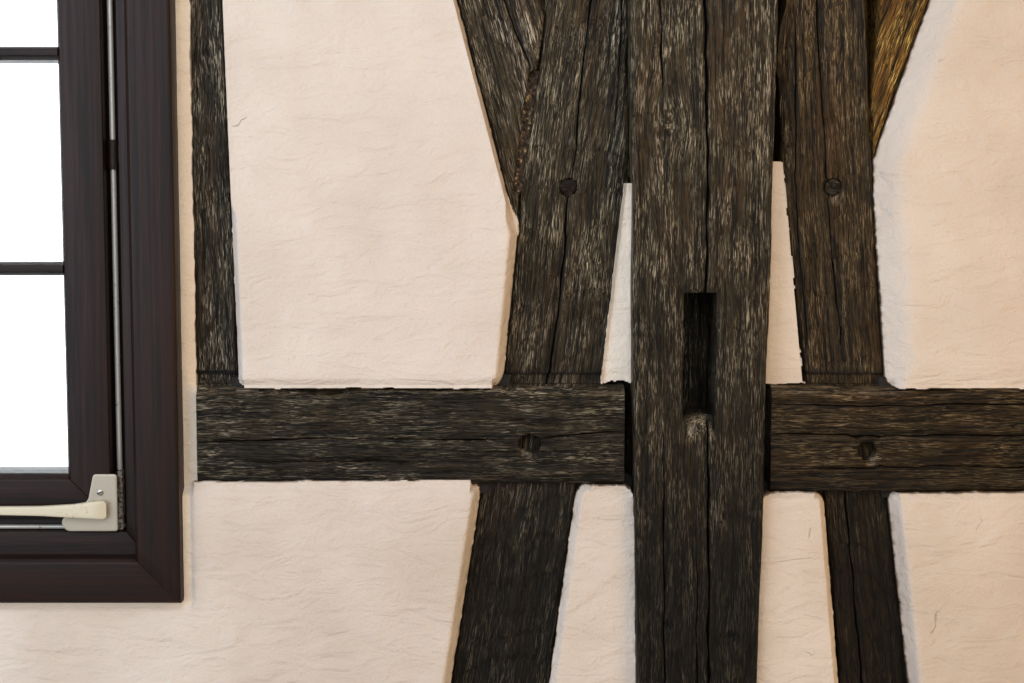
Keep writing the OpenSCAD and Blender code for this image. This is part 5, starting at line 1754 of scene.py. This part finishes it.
@dataclass
class WindowGear:
    """The surface gear on the sash: corner plate, lever, rods, guides, link and hinges."""

    sides: int = 28
    plate_waist: Point = (21 * MM, 28 * MM)
    screw_place: Point = (12 * MM, 35 * MM)
    screw_radius: float = 4.5 * MM
    slot_size: Point = (4 * MM, 0.7 * MM)
    hub: float = 12 * MM
    hub_radius: float = 10 * MM
    guide_length: float = 23 * MM
    guide_foot: float = 4 * MM
    sleeve_radii: Point = (6 * MM, 5 * MM)
    hinge_height: float = 70 * MM
    barrel_radius: float = 6 * MM
    leaf: float = 2.5 * MM

    def build(self) -> None:
        """Builds every part of the gear."""
        self._plate()
        self._lever()
        self._rods()
        self._guides()
        self._link()
        self._hinges()

    def _sheet(self, shell: Shell, outline: Array, front: float, back: float, bevel: float) -> None:
        """Adds a flat piece with a bevelled room edge.

        Args:
            shell: The piece that takes it.
            outline: Anticlockwise (x, z) outline.
            front: Y of its face.
            back: Y of its back.
            bevel: Width of the bevel.
        """
        steps = ((2.2 * bevel, front), (bevel, front), (0.25 * bevel, front + 0.4 * bevel),
                 (0, front + bevel), (0, back))
        shell.loft(layers(outline, steps), flip=True)

    def _plate(self) -> None:
        """Builds the boot-shaped corner plate and its slotted screw, whose slot is a dark sheet of
        painted shade.
        """
        low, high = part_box("corner_gear_plate")
        heel_x, sash_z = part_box("window_sash")[1].x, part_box("window_sash")[0].z
        outline = soften([(low.x + 7 * MM, low.z), (high.x, low.z), (high.x, high.z),
                          (heel_x - self.plate_waist[0], high.z),
                          (heel_x - self.plate_waist[1], sash_z + 25 * MM),
                          (low.x, sash_z), (low.x, low.z + 7 * MM)], 4 * MM, 5)
        shell = Shell()
        self._sheet(shell, outline, low.y, high.y, 1.1 * MM)
        shell.build("cast_corner_plate", GREY_ZINC, ["corner_gear_plate"], crease=30)
        x, z = heel_x - self.screw_place[0], sash_z + self.screw_place[1]
        shell = Shell()
        shell.loft(discs(x, z, 32, [(self.screw_radius * size, low.y + y * MM) for size, y in (
            (0.02, -1.5), (0.45, -1.4), (0.8, -0.9), (1, 0), (1, 1))]), flip=True)
        shell.build("slotted_plate_screw", BARE_STEEL)
        # Painted shade: the slot is a thin dark sheet across the screw head
        long = self.slot_size[0] * np.array([0.94, 0.34])
        wide = self.slot_size[1] * np.array([-0.34, 0.94])
        slot = np.array([x, z]) + np.array([-long - wide, long - wide, long + wide, wide - long])
        shell = Shell()
        self._sheet(shell, soften(slot, 0.3 * MM), low.y - 1.6 * MM, low.y, 0.1 * MM)
        shell.build("screw_slot_shade", UMBER)

    def _lever(self) -> None:
        """Builds the cream lever, narrow at its tip and square at its hub."""
        low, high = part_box("gear_lever")
        middle = centre_of("gear_lever")[2]
        bow = [np.sign(wave) * np.abs(wave)**0.45
               for wave in (np.cos(turns(32)), np.sin(turns(32)))]
        rings = []
        for share in (*np.linspace(0, 0.95, 38), 0.965, 0.975, 0.985, 0.993, 1.0):
            under = np.interp(share, [0, 0.5, 1], [5.4, 7.2, 12]) * MM
            over = np.interp(share, [0, 0.5, 0.75, 0.9, 1], [4.6, 5.2, 7.6, 11.2, 12]) * MM
            size = np.interp(share, [0, 0.012, 0.03, 0.96, 0.985, 1], [0.3, 0.85, 1, 1, 0.95, 0.7])
            centre = middle + (over - under) / 2
            face = bow[0] * np.where(bow[0] > 0, np.interp(share, [0.92, 0.94, 1], [1, 0.8, 0]), 1)
            rings.append(np.stack([np.full(32, low.x + (high.x - low.x) * share),
                                   low.y + 4.5 * MM - 4.5 * MM * size * face,
                                   centre + (over + under) / 2 * size * bow[1]], 1))
        shell = Shell()
        shell.loft(np.stack(rings))
        shell.loft(discs(high.x - self.hub, middle, self.sides,
                         ((self.hub_radius, low.y + 8 * MM), (self.hub_radius, high.y))), flip=True)
        shell.build("cast_gear_lever", CREAM, ["gear_lever"], crease=30)

    def _bar(self, shell: Shell, way: Way, centre: Point, span: Point, radius: float) -> None:
        """Adds a round rod.

        Args:
            shell: The piece that takes it.
            way: UPRIGHT along Z, LEVEL along X.
            centre: Its other two coordinates, (x or z, y).
            span: Where it starts and ends.
            radius: Its radius.
        """
        start, end = span
        ends = [(start, 0.55), (start + 1 * MM, 0.9), (start + 2 * MM, 1)]
        ends += [(place, 1) for place in np.linspace(start + 0.03, end - 0.03, 24)]
        ends += [(end - 2 * MM, 1), (end - 1 * MM, 0.9), (end, 0.55)]
        rim = np.stack([np.cos(turns(self.sides)), np.sin(turns(self.sides))], 1)
        rings = np.stack([np.insert(centre + radius * size * rim, 2, place, 1)
                          for place, size in ends])
        level = way is Way.LEVEL
        shell.loft(rings[..., [2, 1, 0]] if level else rings, flip=level)

    def _rods(self) -> None:
        """Builds the upright rod and the lower rod."""
        for node, way, side, along in (("upright_rod", Way.UPRIGHT, 0, 2),
                                       ("lower_rod", Way.LEVEL, 2, 0)):
            low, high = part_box(node)
            centre = centre_of(node)
            shell = Shell()
            self._bar(shell, way, (centre[side], centre[1]), (low[along], high[along]),
                      (high[side] - low[side]) / 2)
            shell.build("drawn_" + node, SILVER, [node])

    def _guides(self) -> None:
        """Builds the sleeves that hold the rods against the fixed frame."""
        low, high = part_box("rod_guides")
        sash_low, sash_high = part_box("window_sash")
        half, foot_y = self.guide_length / 2, high.y - self.guide_foot
        shell = Shell()
        x, y, _ = centre_of("upright_rod")
        for z in (sash_low.z + (sash_high.z - sash_low.z) * 0.51, high.z - half):
            self._bar(shell, Way.UPRIGHT, (x, y), (z - half, z + half), self.sleeve_radii[0])
            foot = plate((x - 4 * MM, high.x), (z - half, z + half), 2 * MM)
            self._sheet(shell, foot, foot_y, high.y, 0.6 * MM)
        _, y, z = centre_of("lower_rod")
        for share in (0.3, 0.7):
            x = sash_low.x + (sash_high.x - sash_low.x) * share
            self._bar(shell, Way.LEVEL, (z, y), (x - half, x + half), self.sleeve_radii[1])
            foot = plate((x - half, x + half), (low.z, z + 3 * MM), 2 * MM)
            self._sheet(shell, foot, foot_y, high.y, 0.6 * MM)
        shell.build("pressed_rod_guides", UMBER, ["rod_guides"], crease=30)

    def _link(self) -> None:
        """Builds the rusty link with its toothed edge and its pivot."""
        low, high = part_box("rod_link")
        pivot_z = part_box("lower_rod")[0].z + 3 * MM
        middle = centre_of("rod_link")[0]
        teeth = [(middle - out * MM, z - down * MM)
                 for z in np.linspace(high.z - 1 * MM, pivot_z + 8 * MM, 9)
                 for out, down in ((3, 0), (1.8, 2.5))]
        outline = soften([(middle - 3 * MM, pivot_z), (middle + 3.5 * MM, pivot_z),
                          (middle + 3.5 * MM, high.z), *teeth], 0.8 * MM, 2)
        shell = Shell()
        self._sheet(shell, outline, low.y, high.y, 0.4 * MM)
        shell.loft(discs(middle, pivot_z, self.sides,
                         ((1 * MM, low.y - 2 * MM), (3.4 * MM, low.y - 1.6 * MM),
                          (4.3 * MM, low.y - 0.6 * MM), (4.5 * MM, high.y))), flip=True)
        shell.build("toothed_rod_link", RUST, ["rod_link"], crease=30)

    def _hinges(self) -> None:
        """Builds the two barrel hinges at the far side of the sash."""
        low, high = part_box("sash_hinges")
        sash, frame_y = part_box("window_sash")[0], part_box("window_frame")[0].y
        barrel_x, barrel_y = sash.x - 8.5 * MM, frame_y - 4 * MM
        height, knuckle = self.hinge_height, self.hinge_height / 3
        shell = Shell()
        for z in (low.z, high.z - height):
            for part in range(3):
                self._bar(shell, Way.UPRIGHT, (barrel_x, barrel_y),
                          (z + part * knuckle, z + (part + 1) * knuckle - 0.4 * MM),
                          self.barrel_radius)
            for span, face_y in (((barrel_x, high.x), sash.y), ((low.x, barrel_x), frame_y)):
                self._sheet(shell, plate(span, (z, z + height), 3 * MM), face_y - self.leaf, face_y,
                            0.6 * MM)
        shell.build("rolled_sash_hinges", SILVER, ["sash_hinges"], crease=30)


@dataclass(frozen=True)
class Lamp:
    """A soft square lamp that looks at a point."""

    title: str
    place: tuple[float, float, float]
    target: tuple[float, float, float]
    size: float
    power: float
    colour: str

    def hang(self) -> None:
        """Adds the lamp to the scene."""
        data = bpy.data.lights.new(self.title, "AREA")
        data.size = self.size
        data.energy = self.power
        data.color = linear(self.colour)[:3]
        lamp = bpy.data.objects.new(self.title, data)
        bpy.context.scene.collection.objects.link(lamp)
        lamp.location = self.place
        way = np.subtract(self.target, self.place)
        lamp.rotation_euler = (math.acos(-way[2] / np.linalg.norm(way)), 0,
                               math.atan2(way[1], way[0]) - math.pi / 2)


@dataclass(frozen=True)
class Studio:
    """The camera, the lamps, the pale floor and the pale surroundings."""

    paper: str = "#eeece8"
    fill_light: float = 0.22
    floor: str = "#e4e1dc"
    floor_radius: float = 7.4
    eye: tuple[float, float, float] = (0.2364, -1.862, 1.3429)
    pitch_down: float = 4.5
    lens: float = 50.0
    lamps: tuple[Lamp, ...] = (
        Lamp("window_side_lamp", (-1.3, -1.5, 1.7), (0.0, 0.0, 1.2), 1.9, 32, "#e3eeff"),
        Lamp("room_side_lamp", (2.1, -1.5, 1.5), (0.7, 0.0, 1.2), 1.2, 16.5, "#ffc25a"),
        Lamp("upper_lamp", (0.3, -2.2, 2.5), (0.3, 0.0, 1.4), 1.0, 17.2, "#ffffff"),
        Lamp("outside_lamp", (-1.6, 3.4, 1.35), (-1.6, 0.0, 1.35), 2.6, 60, "#f4f9ff"))

    def build(self) -> None:
        """Sets the stage."""
        scene = bpy.context.scene
        scene.view_settings.view_transform = "Standard"
        camera = bpy.data.objects.new("camera", bpy.data.cameras.new("camera"))
        scene.collection.objects.link(camera)
        camera.location = self.eye
        camera.rotation_euler = (math.radians(90 - self.pitch_down), 0, 0)
        camera.data.lens = self.lens
        camera.data.sensor_width = 36
        scene.camera = camera
        for lamp in self.lamps:
            lamp.hang()
        self._surroundings()
        self._floor()

    def _surroundings(self) -> None:
        """Lights the object softly from all round and shows pale surroundings."""
        recipe = Recipe(bpy.data.worlds.new("pale surroundings"), "Background")
        seen = recipe.add("LightPath", {}, out="Is Camera Ray")
        for kind in ("Is Glossy Ray", "Is Transmission Ray"):
            ray = recipe.add("LightPath", {}, out=kind)
            seen = recipe.add("Math", {0: seen, 1: ray}, operation="MAXIMUM")
        level = recipe.add("MapRange", {0: seen, 3: self.fill_light, 4: 1.0})
        bpy.context.scene.world = recipe.finish({"Color": linear(self.paper), "Strength": level})

    def _floor(self) -> None:
        """Lays a plain pale floor."""
        rim = [(self.floor_radius * math.cos(turn), self.floor_radius * math.sin(turn), 0)
               for turn in turns(64)]
        mesh = bpy.data.meshes.new("floor")
        mesh.from_pydata(rim, [], [list(range(64))])
        recipe = Recipe(bpy.data.materials.new("pale floor"))
        mesh.materials.append(recipe.finish({"Base Color": linear(self.floor), "Roughness": 0.9}))
        floor = bpy.data.objects.new("floor", mesh)
        bpy.context.scene.collection.objects.link(floor)


def main() -> None:
    """Builds the wall, its window and the stage."""
    logging.basicConfig(level=logging.INFO, format="%(message)s")
    for part in (Studio(), TimberFrame(), Infill(), CasementWindow(), WindowGear()):
        log.info("building %s", type(part).__name__)
        part.build()


if __name__ == "__main__":
    main()
